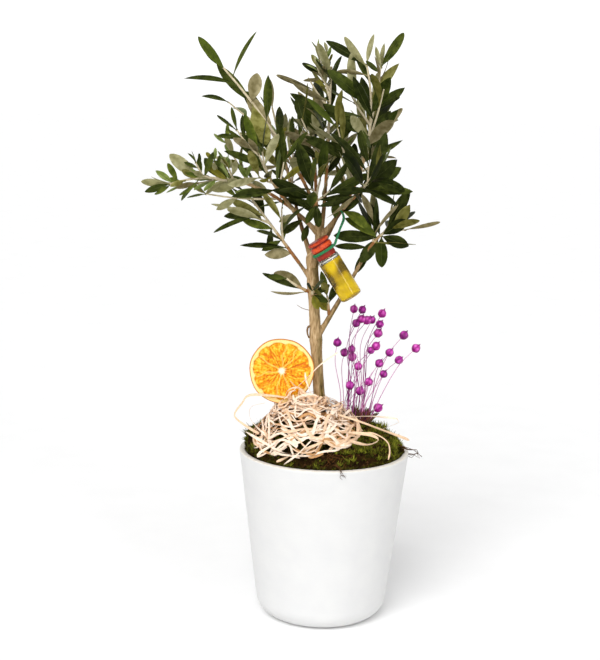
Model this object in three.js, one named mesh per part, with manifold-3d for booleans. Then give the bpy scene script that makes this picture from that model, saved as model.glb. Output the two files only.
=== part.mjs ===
// A young olive tree trained as a bonsai in a round white pot, dressed with moss, a nest of raffia,
// a dried orange slice, a bunch of dyed flax and a small oil bottle tied to a bough.
// Millimetres, +Z up. The origin is the middle of the pot's flat underside, +X is the right-hand
// side and -Y the side that faces the viewer. Headings turn from +X towards +Y, in degrees.
import * as THREE from "three";
import { mergeVertices } from "three/addons/utils/BufferGeometryUtils.js";
import Module from "manifold-3d";

const wasm = await Module();
wasm.setup();

// Clear space left between two pieces that touch
const GAP = 0.3;

// Edges shorter than this are closed up after fusing
const SLIVER = 0.1;

// Pot: a straight flared wall on a rounded foot
const POT_HEIGHT = 150;
const POT_RIM_RADIUS = 75;
const POT_FOOT_RADIUS = 56.5;
const POT_ROUNDING = 18;
const POT_WALL = 5;
const POT_LIP_ROUNDING = 0.9;
const POT_SIDES = 28;

// Soil and the moss cushion on it, which is low at the front and stands above the rim elsewhere
const SOIL_TOP = 140;
const MOSS_RADIUS = 68;
const MOSS_MIDDLE = 169;
const MOSS_BACK_EDGE = 164;
const MOSS_FRONT_EDGE = 149;
const MOSS_LUMP = 1.4;
const MOSS_SIDES = 22;

// Trunk: a leaning stem that ends in a slanted pruning cut, with a live crook beside the cut
const TRUNK_FOOT = [0.5, 2, SOIL_TOP - 2];
const TRUNK = { heading: 180, rise: 84, sweep: 0, lift: 3, length: 192 };
const TRUNK_RADIUS_LOW = 5.2;
const TRUNK_RADIUS_HIGH = 4.7;
const ROOT_FLARE = 4.5;
const ROOT_FLARE_HEIGHT = 10;
const STUB_SLANT = 38;
const CROOK_START = 0.9;
const CROOK = { heading: 34, rise: 70, sweep: 0, lift: 10, length: 29 };
const CROOK_RADIUS = 4.3;

// Limbs, each a bare bough and the leafy stem that carries on from its tip.
// on and at: the limb it springs from and how far along that; bough and stem: length, lift, sweep;
// leaf and space: how large its leaves are and how far apart, against the usual
const LIMBS = [
  { name: "left", on: "crook", at: 1, heading: 180, rise: 47, thick: 2.6, bough: [38, -10, 4],
    stem: [109, -54, 21], twigs: 4, roll: 176, leaf: 0.69, space: 0.78, seed: 177 },
  { name: "right", on: "crook", at: 0.97, heading: 0, rise: 47, thick: 2.5, bough: [40, 16, -4],
    stem: [117, 41, -14], twigs: 4, roll: 152, leaf: 1.01, space: 0.81, seed: 251 },
  { name: "crest", on: "crook", at: 0.9, heading: 176, rise: 86, thick: 2.5, bough: [52, -26, 4],
    stem: [118, -13, 1], twigs: 2, roll: 95, leaf: 0.93, space: 1.72, seed: 108 },
  { name: "top", on: "crook", at: 0.86, heading: 65, rise: 70, thick: 2.4, bough: [50, 16, 0],
    stem: [100, -2, 12], twigs: 4, roll: 126, leaf: 0.93, space: 0.73, seed: 198 },
  { name: "lower_right", on: "trunk", at: 0.575, heading: 14, rise: 58, thick: 2.5, bough: [92, 4, 0],
    stem: [36, -69, -18], twigs: 5, roll: 14, leaf: 1.01, space: 0.77, seed: 389 },
  { name: "lower_left", on: "trunk", at: 0.83, heading: 172, rise: 56, thick: 2, bough: [24, -4, 0],
    stem: [75, -2, -10], twigs: 2, roll: 28, leaf: 0.82, space: 0.82, seed: 285 },
  { name: "right_front", on: "right", at: 0.8, heading: 306, rise: 34, thick: 1.7, bough: [18, 0, 0],
    stem: [38, 7, -4], twigs: 3, roll: 90, leaf: 1.08, space: 0.85, seed: 24 },
  { name: "front_left", on: "left", at: 0.8, heading: 232, rise: 36, thick: 1.7, bough: [24, 4, 0],
    stem: [50, 12, 8], twigs: 3, roll: 45, leaf: 1, space: 0.9, seed: 262 },
  { name: "front", on: "crest", at: 0.3, heading: 265, rise: 38, thick: 1.7, bough: [24, 4, 0],
    stem: [33, 3, 22], twigs: 2, roll: 100, leaf: 1.08, space: 1.25, seed: 85 },
  { name: "back_left", on: "trunk", at: 0.935, heading: 128, rise: 58, thick: 2.4, bough: [58, 8, 0],
    stem: [85, 3, 6], twigs: 4, roll: 77, leaf: 0.9, space: 1.15, seed: 188 },
  { name: "back_right", on: "crook", at: 0.3, heading: 46, rise: 52, thick: 2.3, bough: [60, 6, -6],
    stem: [87, 20, 1], twigs: 4, roll: 54, leaf: 0.96, space: 1.37, seed: 257 },
  { name: "back", on: "crook", at: 0.62, heading: 96, rise: 58, thick: 2.3, bough: [56, 8, 0],
    stem: [75, 0, 9], twigs: 4, roll: 2, leaf: 1.02, space: 0.86, seed: 63 },
];
const BOUGH_TIP_RADIUS = 1.4;
const BOUGH_SIDES = 6;
const BOUGH_STEP = 13;

// Short leafy sprigs that leave the trunk or a bough directly
const SPRIGS = [
  { name: "sprig_left", on: "trunk", at: 0.785, heading: 200, rise: 22,
    stem: [22, 18, -10], twigs: 0, roll: 166, leaf: 0.72, space: 0.44, seed: 116 },
  { name: "sprig_trunk", on: "trunk", at: 0.77, heading: 262, rise: 20,
    stem: [13, 14, 10], twigs: 0, roll: 156, leaf: 0.65, space: 0.45, seed: 36 },
  { name: "sprig_fork", on: "lower_right", at: 0.24, heading: 250, rise: 76,
    stem: [15, -5, -8], twigs: 0, roll: 151, leaf: 0.65, space: 0.7, seed: 139 },
];

// Leafy shoots: side twigs and opposite pairs of narrow leaves, each pair a quarter turn from the last
const STEM_TIP_RADIUS = 1.0;
const TWIG_RADIUS = 1.35;
const TWIG_TIP_RADIUS = 1.1;
const TWIG_SIDES = 3;
const TWIG_STEP = 22;
const STEM_STEP = 17;
const TWIG_FIRST = 0.1;
const TWIG_LAST = 0.72;
const TWIG_TURN = 137.5;
const TWIG_SPLAY = 40;
const TWIG_REACH = 0.46;
const TWIG_LIFT = 14;
const TWIG_PROBE_START = 0.2;
const BARE_FOOT = 7;
const PAIR_SPACING = 17;
const LEAF_LENGTH = 40;
const LEAF_SLIM = 0.24;
const LEAF_THICKNESS = 0.9;
const LEAF_SECTIONS = [[0.34, 0.94], [0.7, 0.84]];
const LEAF_SPLAY_FOOT = 54;
const LEAF_SPLAY_TIP = 24;
const LEAF_ROOT_SINK = 0.15;
const LEAF_ROOT_HALF = 0.45;
const LEAF_PROBE_START = 0.16;
const LEAF_PROBE_MARGIN = 0.35;
const LEAF_TURNS = [0, 24, -24, 48, -48];

// Raffia nest: a soft heap with loose ribbons, some of which stray off
const RAFFIA_MIDDLE = [-16, -15, 171];
const RAFFIA_REACH = [43, 36, 25];
const RAFFIA_LOOPS = 4;
const RAFFIA_RIBBON = [2.6, 0.8];
const RAFFIA_STRAYS = [
  [-81, -10, 187],
  [-75, -14, 200],
  [69, -12, 172],
  [54, -42, 161],
  [-52, -50, 158],
  [10, -18, 241],
];

// Dried orange slice, leaning on the trunk
const SLICE_RADIUS = 28.3;
const SLICE_THICKNESS = 4.6;
const SLICE_EDGE = 1.1;
const SLICE_RIND = 3.4;
const SLICE_MIDDLE = [-38.5, -7.6, 219];
const SLICE_LEAN = 6;
const SLICE_SIDES = 28;

// Dyed flax: round seed heads on thin stems from one dark foot; each row is a head's side and height
const FLAX_FOOT = [28, 15, 176];
const FLAX_FOOT_REACH = [12, 9, 8];
const FLAX_HEAD_RADIUS = 3.5;
const FLAX_HEAD_POINT = 5;
const FLAX_STEM_RADIUS = 0.75;
const FLAX_DEPTH = 30;
const FLAX_HEADS = [
  [-4, 95], [3, 96], [3, 87], [-2, 83], [8, 85], [13, 83], [22, 89], [20, 80], [19, 71], [16, 64],
  [13, 56], [-18, 65], [-5, 58], [-11, 53], [-4, 50], [1, 44], [29, 56], [42, 70], [51, 63], [38, 48],
  [20, 46], [24, 37], [-6, 27], [3, 22], [11, 29], [20, 6],
];

// Oil bottle, base to seal, tied by the neck so that it leans against the trunk
const BOTTLE_BASE = [20.4, -16.2, 288.6];
const BOTTLE_LEAN = -32.5;
const BOTTLE_RADIUS = 9.7;
const BOTTLE_BODY = 37.5;
const BOTTLE_NECK_RADIUS = 6.8;
const BOTTLE_NECK_TOP = 51;
const BOTTLE_GLASS = 1.2;
const OIL_TOP = 37;
const SEAL_BOTTOM = 41.2;
const SEAL_TOP = 57;
const SEAL_RADIUS = 9.6;
const TIE_LOW = 44.6;
const TIE_WIDTH = 3.4;
const TIE_CORD_RADIUS = 0.8;
const TIE_AT = 0.5;
const BOTTLE_SIDES = 12;

// Small helpers
const radians = THREE.MathUtils.degToRad;
const mix = THREE.MathUtils.lerp;
const vector = (place) => new THREE.Vector3(...place);

function seeded(seed) {
  let state = (seed * 7919) % 2147483647;
  const draw = () => {
    state = (state * 16807) % 2147483647;
    return state / 2147483647;
  };
  draw();
  draw();
  return draw;
}

function aim(heading, rise) {
  const level = Math.cos(radians(rise));
  const across = level * Math.cos(radians(heading));
  const away = level * Math.sin(radians(heading));
  return new THREE.Vector3(across, away, Math.sin(radians(rise)));
}

// Solids for fusing and cutting, and back again
function toSolid(geometry) {
  const bare = geometry.clone();
  bare.deleteAttribute("normal");
  bare.deleteAttribute("uv");
  const welded = mergeVertices(bare, 1e-4);
  const corners = Uint32Array.from(welded.index.array);
  const places = Float32Array.from(welded.attributes.position.array);
  return new wasm.Manifold(new wasm.Mesh({ numProp: 3, vertProperties: places, triVerts: corners }));
}

function toGeometry(solid) {
  const mesh = solid.getMesh();
  const geometry = new THREE.BufferGeometry();
  geometry.setAttribute("position", new THREE.BufferAttribute(Float32Array.from(mesh.vertProperties), 3));
  geometry.setIndex(new THREE.BufferAttribute(Uint32Array.from(mesh.triVerts), 1));
  geometry.computeVertexNormals();
  return geometry;
}

// The largest body of a solid, without scraps, sealed hollows or slivers
function mainBody(solid) {
  const bodies = solid.asOriginal().simplify(SLIVER).decompose();
  return bodies.reduce((best, body) => (body.volume() > best.volume() ? body : best));
}

function fuse(solids) {
  return solids.reduce((whole, solid) => whole.add(solid));
}

function turned(profile, sides) {
  const points = profile.map(([radius, height]) => new THREE.Vector2(radius, height));
  return new THREE.LatheGeometry(points, sides).rotateX(Math.PI / 2);
}

// Lines that bend steadily in heading and rise
function growLine(start, heading, rise, [length, lift, sweep], steps) {
  const line = [start.clone()];
  for (let i = 0; i < steps; i++) {
    const part = (i + 0.5) / steps;
    const step = aim(heading + sweep * part, rise + lift * part).multiplyScalar(length / steps);
    line.push(step.add(line[i]));
  }
  return line;
}

// The way ahead and two cross directions at every point of a line
function framesOf(line) {
  let across = null;
  return line.map((point, i) => {
    const next = line[Math.min(i + 1, line.length - 1)];
    const ahead = next.clone().sub(line[Math.max(i - 1, 0)]).normalize();
    if (!across) {
      across = Math.abs(ahead.z) > 0.9 ? new THREE.Vector3(1, 0, 0) : new THREE.Vector3(0, 0, 1);
    }
    across = across.clone().addScaledVector(ahead, -across.dot(ahead)).normalize();
    return { point, ahead, across, side: across.clone().cross(ahead) };
  });
}

function frameAt(frames, part) {
  const spot = part * (frames.length - 1);
  const low = Math.min(Math.floor(spot), frames.length - 2);
  const point = frames[low].point.clone().lerp(frames[low + 1].point, spot - low);
  const near = frames[Math.round(spot)];
  return { point, ahead: near.ahead, across: near.across, side: near.side };
}

// A tapering round limb: a cylinder bent along a line
function limbGeometry(line, radiusAt, sides) {
  const frames = framesOf(line);
  const last = frames.length - 1;
  const geometry = new THREE.CylinderGeometry(1, 1, 1, sides, last);
  const places = geometry.attributes.position;
  for (let i = 0; i < places.count; i++) {
    const ring = Math.round((places.getY(i) + 0.5) * last);
    const radius = radiusAt(ring / last);
    const spot = frames[ring].point.clone();
    spot.addScaledVector(frames[ring].across, places.getX(i) * radius);
    spot.addScaledVector(frames[ring].side, places.getZ(i) * radius);
    places.setXYZ(i, spot.x, spot.y, spot.z);
  }
  return geometry;
}

// Space already taken, so that later twigs and leaves keep clear of it
const taken = [];

function claim(solid, owner) {
  taken.push({ solid, owner, box: solid.boundingBox() });
  return solid;
}

function boxesMeet(one, other) {
  return [0, 1, 2].every((k) => one.min[k] <= other.max[k] && other.min[k] <= one.max[k]);
}

// True where the whole of a new piece clears other owners' pieces, and its outer part clears its own
function isFree(whole, outer, owner) {
  const wholeBox = whole.boundingBox();
  const outerBox = outer.boundingBox();
  return taken.every((held) => {
    const own = held.owner === owner;
    if (!boxesMeet(held.box, own ? outerBox : wholeBox)) {
      return true;
    }
    return held.solid.intersect(own ? outer : whole).isEmpty();
  });
}

// Materials and named pieces
function finish(color, roughness, extra) {
  return new THREE.MeshStandardMaterial({ color, roughness, metalness: 0, ...extra });
}

const barkFinish = () => finish(0x8f7d62, 0.8);
const leafFinish = () => finish(0x46552a, 0.5);
const group = (name) => Object.assign(new THREE.Group(), { name });
const piece = (name, geometry, material) => Object.assign(new THREE.Mesh(geometry, material), { name });

const bonsai = group("olive_bonsai");
const vessel = group("vessel");
const tree = group("tree");
const dressing = group("dressing");
bonsai.add(vessel, tree, dressing);

// Pot, with one line for the wall that serves inside and out
function potLine(inset, top) {
  const slope = (POT_RIM_RADIUS - POT_FOOT_RADIUS) / POT_HEIGHT;
  const tilt = Math.atan(slope);
  const middle = POT_FOOT_RADIUS - POT_ROUNDING * Math.tan((Math.PI / 2 - tilt) / 2);
  const bend = POT_ROUNDING - inset;
  const line = [[0, inset]];
  for (let i = 0; i <= 4; i++) {
    const angle = mix(-Math.PI / 2, -tilt, i / 4);
    line.push([middle + bend * Math.cos(angle), POT_ROUNDING + bend * Math.sin(angle)]);
  }
  line.push([POT_FOOT_RADIUS + slope * top - inset / Math.cos(tilt), top]);
  return line;
}

const outside = potLine(0, POT_HEIGHT - POT_LIP_ROUNDING);
const inside = potLine(POT_WALL, POT_HEIGHT - POT_LIP_ROUNDING).reverse();
const lip = [
  [POT_RIM_RADIUS - POT_LIP_ROUNDING, POT_HEIGHT],
  [POT_RIM_RADIUS - POT_WALL + POT_LIP_ROUNDING, POT_HEIGHT],
];
vessel.add(piece("pot", turned([...outside, ...lip, ...inside], POT_SIDES), finish(0xf1f0ee, 0.45)));

const soilLine = [...potLine(POT_WALL + GAP, SOIL_TOP), [0, SOIL_TOP]];
vessel.add(piece("soil", turned(soilLine, POT_SIDES), finish(0x2a1d14, 0.95)));

// Moss
function mossTop(x, y) {
  const spread = Math.min(Math.hypot(x, y) / MOSS_RADIUS, 1);
  const front = THREE.MathUtils.smoothstep(-y / MOSS_RADIUS, -0.1, 0.95);
  const edge = mix(MOSS_BACK_EDGE, MOSS_FRONT_EDGE, front);
  const lumps = MOSS_LUMP * (Math.sin(x / 7 + 1) * Math.cos(y / 9) + Math.sin(x / 15 - y / 11));
  return edge + (MOSS_MIDDLE - edge) * (1 - spread ** 2) + lumps - 3 * spread ** 10;
}

function mossGeometry(raise) {
  const rings = [1, 0.93, 0.78, 0.56, 0.3, 0];
  const low = SOIL_TOP + GAP;
  const profile = [[0, low], [MOSS_RADIUS, low], ...rings.map((ring) => [ring * MOSS_RADIUS, low + 1])];
  const geometry = turned(profile, MOSS_SIDES);
  const places = geometry.attributes.position;
  for (let i = 0; i < places.count; i++) {
    if (places.getZ(i) > low + 0.5) {
      places.setZ(i, mossTop(places.getX(i), places.getY(i)) + raise);
    }
  }
  return geometry;
}

// Trunk with its root flare, pruned stub and live crook
const lines = {};
const radii = {};
const trunkBend = [TRUNK.length, TRUNK.lift, TRUNK.sweep];
lines.trunk = growLine(vector(TRUNK_FOOT), TRUNK.heading, TRUNK.rise, trunkBend, 14);
radii.trunk = (part) => {
  const flare = ROOT_FLARE * Math.exp((-part * TRUNK.length) / ROOT_FLARE_HEIGHT);
  return mix(TRUNK_RADIUS_LOW, TRUNK_RADIUS_HIGH, part) + flare;
};
const crookStart = frameAt(framesOf(lines.trunk), CROOK_START).point;
const crookBend = [CROOK.length, CROOK.lift, CROOK.sweep];
lines.crook = growLine(crookStart, CROOK.heading, CROOK.rise, crookBend, 5);
radii.crook = (part) => CROOK_RADIUS * (part > 0.99 ? 0.7 : 1);

function trunkSolid(spare) {
  const stem = toSolid(limbGeometry(lines.trunk, (part) => radii.trunk(part) + spare, 10));
  const crook = toSolid(limbGeometry(lines.crook, (part) => radii.crook(part) + spare, 10));
  const tip = lines.trunk[lines.trunk.length - 1];
  const cutter = new THREE.BoxGeometry(60, 60, 30);
  cutter.translate(0, 0, 15 + spare);
  cutter.rotateY(radians(-STUB_SLANT));
  cutter.translate(tip.x, tip.y, tip.z - TRUNK_RADIUS_HIGH);
  const ground = new THREE.BoxGeometry(60, 60, 30);
  ground.translate(TRUNK_FOOT[0], TRUNK_FOOT[1], SOIL_TOP + GAP - 15);
  return stem.subtract(toSolid(cutter)).subtract(toSolid(ground)).add(crook);
}

const trunkRoom = trunkSolid(GAP);
const mossSolid = toSolid(mossGeometry(0)).subtract(trunkRoom);
vessel.add(piece("moss", toGeometry(mainBody(mossSolid)), finish(0x5a5a1e, 0.95)));
tree.add(piece("trunk", toGeometry(claim(mainBody(trunkSolid(0)))), barkFinish()));

// Orange slice: a disc with a raised rind, standing on edge and leaning back on the trunk
function sliceGeometry(spare) {
  const half = SLICE_THICKNESS / 2 + spare;
  const radius = SLICE_RADIUS + spare;
  const profile = [
    [0, -half],
    [radius - SLICE_EDGE, -half],
    [radius, -half + SLICE_EDGE],
    [radius, half - SLICE_EDGE],
    [radius - SLICE_EDGE, half],
    [radius - SLICE_RIND, half],
    [radius - SLICE_RIND - 0.6, half - 0.6],
    [0, half - 0.6],
  ];
  return turned(profile, SLICE_SIDES);
}

const slice = piece("orange_slice", sliceGeometry(0), finish(0xf0a21c, 0.6));
slice.position.set(...SLICE_MIDDLE);
slice.rotation.x = radians(90 - SLICE_LEAN);
slice.updateMatrixWorld();
dressing.add(slice);
const sliceRoom = toSolid(sliceGeometry(GAP).applyMatrix4(slice.matrixWorld));
claim(toSolid(slice.geometry.clone().applyMatrix4(slice.matrixWorld)));

// Raffia nest
function ribbon(points, steps) {
  const shape = new THREE.Shape();
  const [width, depth] = RAFFIA_RIBBON;
  shape.moveTo(-depth / 2, -width / 2);
  shape.lineTo(depth / 2, -width / 2);
  shape.lineTo(depth / 2, width / 2);
  shape.lineTo(-depth / 2, width / 2);
  const path = new THREE.CatmullRomCurve3(points);
  return toSolid(new THREE.ExtrudeGeometry(shape, { steps, bevelEnabled: false, extrudePath: path }));
}

function heapPoint(turn, reach, raise) {
  const high = Math.sqrt(Math.max(1 - reach ** 2, 0.02));
  const x = RAFFIA_MIDDLE[0] + RAFFIA_REACH[0] * reach * Math.cos(turn);
  const y = RAFFIA_MIDDLE[1] + RAFFIA_REACH[1] * reach * Math.sin(turn);
  const z = RAFFIA_MIDDLE[2] + RAFFIA_REACH[2] * high;
  return new THREE.Vector3(x, y, Math.max(z, mossTop(x, y)) + raise);
}

function raffiaNest() {
  const random = seeded(41);
  const heap = new THREE.SphereGeometry(1, 14, 8).rotateX(Math.PI / 2);
  heap.scale(...RAFFIA_REACH);
  heap.translate(...RAFFIA_MIDDLE);
  const strands = [toSolid(heap)];
  for (let i = 0; i < RAFFIA_LOOPS; i++) {
    const start = radians(i * 137.5);
    const span = radians(110 + 90 * random());
    const reach = 0.5 + 0.45 * random();
    const points = [];
    for (let k = 0; k <= 4; k++) {
      const bow = Math.sin((Math.PI * k) / 4);
      points.push(heapPoint(start + (span * k) / 4, reach * (0.8 + 0.25 * bow), 5 * bow - 1.8));
    }
    strands.push(ribbon(points, 6));
  }
  for (const end of RAFFIA_STRAYS) {
    const tip = vector(end);
    const turn = Math.atan2(tip.y - RAFFIA_MIDDLE[1], tip.x - RAFFIA_MIDDLE[0]);
    const foot = heapPoint(turn, 0.55, -2);
    const half = foot.clone().lerp(tip, 0.5).add(new THREE.Vector3(0, -1.5, 4));
    strands.push(ribbon([foot, half, tip], 4));
  }
  const room = fuse([trunkRoom, sliceRoom, toSolid(mossGeometry(GAP))]);
  return mainBody(fuse(strands).subtract(room));
}

dressing.add(piece("raffia_nest", toGeometry(claim(raffiaNest())), finish(0xe8c9a0, 0.75)));

// Flax bunch
function flaxBunch() {
  const random = seeded(43);
  const foot = new THREE.SphereGeometry(1, 8, 5).rotateX(Math.PI / 2);
  foot.scale(...FLAX_FOOT_REACH);
  foot.translate(...FLAX_FOOT);
  const parts = [toSolid(foot)];
  const radius = FLAX_HEAD_RADIUS;
  const profile = [
    [0, -radius],
    [0.8 * radius, -0.55 * radius],
    [0.95 * radius, 0.3 * radius],
    [0, FLAX_HEAD_POINT],
  ];
  for (const [side, height] of FLAX_HEADS) {
    const depth = FLAX_DEPTH * (random() - 0.4) * Math.min(1, height / 50);
    const baseX = THREE.MathUtils.clamp(side * 0.32, -8, 8);
    const baseY = THREE.MathUtils.clamp(depth * 0.45, -6, 6);
    const base = vector(FLAX_FOOT).add(new THREE.Vector3(baseX, baseY, 0));
    const tip = vector(FLAX_FOOT).add(new THREE.Vector3(side, depth, height + 2));
    parts.push(toSolid(limbGeometry([base, tip], () => FLAX_STEM_RADIUS, 3)));
    const head = turned(profile, 5);
    const lean = new THREE.Quaternion();
    lean.setFromUnitVectors(new THREE.Vector3(0, 0, 1), tip.clone().sub(base).normalize());
    head.applyQuaternion(lean).translate(tip.x, tip.y, tip.z);
    parts.push(toSolid(head));
  }
  return mainBody(fuse(parts).subtract(toSolid(mossGeometry(GAP))));
}

dressing.add(piece("flax_bunch", toGeometry(claim(flaxBunch())), finish(0x8a2f86, 0.7)));

// Oil bottle, made upright on its base and then leaned over
const bottle = group("bottle");
bottle.position.set(...BOTTLE_BASE);
bottle.rotation.y = radians(BOTTLE_LEAN);
dressing.add(bottle);
bonsai.updateMatrixWorld(true);

function shoulder(radius, neck, height) {
  const line = [];
  for (let i = 0; i <= 4; i++) {
    const angle = ((i / 4) * Math.PI) / 2;
    line.push([mix(neck, radius, Math.cos(angle)), BOTTLE_BODY + height * Math.sin(angle)]);
  }
  return line;
}

const bore = BOTTLE_NECK_RADIUS - BOTTLE_GLASS;
const hollow = BOTTLE_RADIUS - BOTTLE_GLASS;
const glassLine = [
  [0, 0],
  [BOTTLE_RADIUS - 1.2, 0],
  [BOTTLE_RADIUS, 1.2],
  ...shoulder(BOTTLE_RADIUS, BOTTLE_NECK_RADIUS, 3.2),
  [BOTTLE_NECK_RADIUS, BOTTLE_NECK_TOP],
  [bore, BOTTLE_NECK_TOP],
  ...shoulder(hollow, bore, 2).reverse(),
  [hollow, 2.6],
  [hollow - 1, 1.8],
  [0, 1.8],
];
const oilRadius = hollow - GAP;
const oilLine = [[0, 2.1], [oilRadius - 1, 2.1], [oilRadius, 2.9], [oilRadius, OIL_TOP], [0, OIL_TOP]];
const sealBore = BOTTLE_NECK_RADIUS + GAP;
const sealLine = [
  [0, OIL_TOP + 5],
  [bore - GAP, OIL_TOP + 5],
  [bore - GAP, BOTTLE_NECK_TOP + GAP],
  [sealBore, BOTTLE_NECK_TOP + GAP],
  [sealBore, SEAL_BOTTOM],
  [SEAL_RADIUS - 1, SEAL_BOTTOM],
  [SEAL_RADIUS - 0.4, SEAL_BOTTOM + 1],
  [SEAL_RADIUS - 0.4, TIE_LOW - GAP],
  [SEAL_RADIUS - 0.9, TIE_LOW],
  [SEAL_RADIUS - 0.9, TIE_LOW + TIE_WIDTH],
  [SEAL_RADIUS, TIE_LOW + TIE_WIDTH + GAP],
  [SEAL_RADIUS, SEAL_TOP - 5.2],
  [SEAL_RADIUS - 1, SEAL_TOP - 4.8],
  [SEAL_RADIUS - 1, SEAL_TOP - 3.4],
  [SEAL_RADIUS, SEAL_TOP - 3],
  [SEAL_RADIUS, SEAL_TOP - 0.8],
  [SEAL_RADIUS - 0.8, SEAL_TOP],
  [0, SEAL_TOP],
];
const clear = { transparent: true, opacity: 0.35 };
bottle.add(piece("bottle_glass", turned(glassLine, BOTTLE_SIDES), finish(0xe6ecd8, 0.05, clear)));
bottle.add(piece("bottle_oil", turned(oilLine, BOTTLE_SIDES), finish(0xd8b414, 0.1)));
bottle.add(piece("bottle_seal", turned(sealLine, BOTTLE_SIDES), finish(0xc83a1e, 0.4)));
const bottleRoom = [[0, 0], [BOTTLE_RADIUS + 1, 0], [BOTTLE_RADIUS + 1, SEAL_TOP + 1], [0, SEAL_TOP + 1]];
claim(toSolid(turned(bottleRoom, BOTTLE_SIDES).applyMatrix4(bottle.matrixWorld)));

// Boughs, each cut clear of the trunk and of the boughs made before it
const limbRooms = [trunkRoom];
for (const limb of LIMBS) {
  const start = frameAt(framesOf(lines[limb.on]), limb.at).point;
  const line = growLine(start, limb.heading, limb.rise, limb.bough, Math.round(limb.bough[0] / BOUGH_STEP));
  const radiusAt = (part) => mix(limb.thick, BOUGH_TIP_RADIUS, part);
  lines[limb.name] = line;
  radii[limb.name] = radiusAt;
  const whole = toSolid(limbGeometry(line, radiusAt, BOUGH_SIDES));
  const solid = mainBody(whole.subtract(fuse(limbRooms)));
  limbRooms.push(toSolid(limbGeometry(line, (part) => radiusAt(part) + GAP, BOUGH_SIDES)));
  tree.add(piece(`bough_${limb.name}`, toGeometry(claim(solid)), barkFinish()));
}

// Green tie: two turns round the neck and a loop over the right bough
function tieSolid() {
  const low = TIE_LOW + 0.1;
  const high = TIE_LOW + TIE_WIDTH - 0.1;
  const snug = SEAL_RADIUS - 0.9 + GAP;
  const full = snug + 2 * TIE_CORD_RADIUS;
  const waist = (low + high) / 2;
  const band = [
    [snug, low],
    [full, low + 0.4],
    [full - 0.5, waist],
    [full, high - 0.4],
    [snug, high],
    [snug, low],
  ];
  const ring = turned(band, BOTTLE_SIDES).applyMatrix4(bottle.matrixWorld);
  const hold = new THREE.Vector3(full - 0.8, 0, waist).applyMatrix4(bottle.matrixWorld);
  const spot = frameAt(framesOf(lines.right), TIE_AT);
  const away = 1.15 * (radii.right(TIE_AT) + TIE_CORD_RADIUS + GAP);
  const over = spot.across.clone().multiplyScalar(spot.across.z > 0 ? away : -away);
  const behind = spot.side.clone().multiplyScalar(spot.side.y > 0 ? away : -away);
  const around = (back, up) => spot.point.clone().addScaledVector(behind, back).addScaledVector(over, up);
  const points = [
    hold,
    around(-1.1, -1.4).lerp(hold, 0.3),
    around(-1, -0.4),
    around(-0.7, 0.7),
    around(0, 1),
    around(0.7, 0.7),
    around(1, -0.4),
    around(0.5, -1.6),
    around(-0.6, -2).lerp(hold, 0.4),
    hold.clone().add(new THREE.Vector3(0.9, 1.2, 0)),
  ];
  const cord = new THREE.Shape().absarc(0, 0, TIE_CORD_RADIUS, 0, 2 * Math.PI);
  const path = new THREE.CatmullRomCurve3(points, true);
  const loop = { steps: 22, curveSegments: 3, bevelEnabled: false, extrudePath: path };
  return mainBody(toSolid(ring).add(toSolid(new THREE.ExtrudeGeometry(cord, loop))));
}

dressing.add(piece("bottle_tie", toGeometry(claim(tieSolid())), finish(0x1c7a46, 0.8)));

// A leaf: a thin blade with a keel under it, from its sunk root through two sections to its point
function leafSolid(leaf, start, margin) {
  const { root, ahead, wide, face, length, width, arch } = leaf;
  const spine = (part) => {
    const bow = 4 * arch * length * part * (1 - part);
    return root.clone().addScaledVector(ahead, part * length).addScaledVector(face, bow);
  };
  const places = [];
  const section = (part, halfWidth, depth) => {
    for (const [aside, out] of [[1, 0.4], [-1, 0.4], [0, -0.6]]) {
      const corner = spine(part).addScaledVector(wide, aside * halfWidth);
      places.push(...corner.addScaledVector(face, out * depth).toArray());
    }
  };
  section(start, LEAF_ROOT_HALF + 2 * margin, 1.6 * LEAF_ROOT_HALF + margin);
  for (const [part, share] of LEAF_SECTIONS) {
    section(part, (share * width) / 2 + margin, LEAF_THICKNESS + 2 * margin);
  }
  places.push(...spine(1).addScaledVector(ahead, margin).toArray());
  const corners = [0, 2, 1];
  for (let k = 0; k < 3; k++) {
    const next = (k + 1) % 3;
    corners.push(k, next, 3 + k, next, 3 + next, 3 + k);
    corners.push(3 + k, 3 + next, 6 + k, 3 + next, 6 + next, 6 + k, 6 + k, 6 + next, 9);
  }
  const geometry = new THREE.BufferGeometry();
  geometry.setAttribute("position", new THREE.Float32BufferAttribute(places, 3));
  geometry.setIndex(corners);
  return toSolid(geometry);
}

// Where one leaf of a pair sits: it leaves the twig sideways and turns its face up and towards the tip
function placeLeaf(frame, turn, splay, length, width, twist, arch) {
  const out = frame.across.clone().multiplyScalar(Math.cos(radians(turn)));
  out.addScaledVector(frame.side, Math.sin(radians(turn)));
  const ahead = frame.ahead.clone().multiplyScalar(Math.cos(radians(splay)));
  ahead.addScaledVector(out, Math.sin(radians(splay)));
  const face = frame.ahead.clone().add(new THREE.Vector3(0, 0, 0.5));
  face.addScaledVector(ahead, -face.dot(ahead)).normalize().applyAxisAngle(ahead, radians(twist));
  return { root: frame.point, ahead, face, wide: face.clone().cross(ahead), length, width, arch };
}

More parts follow.
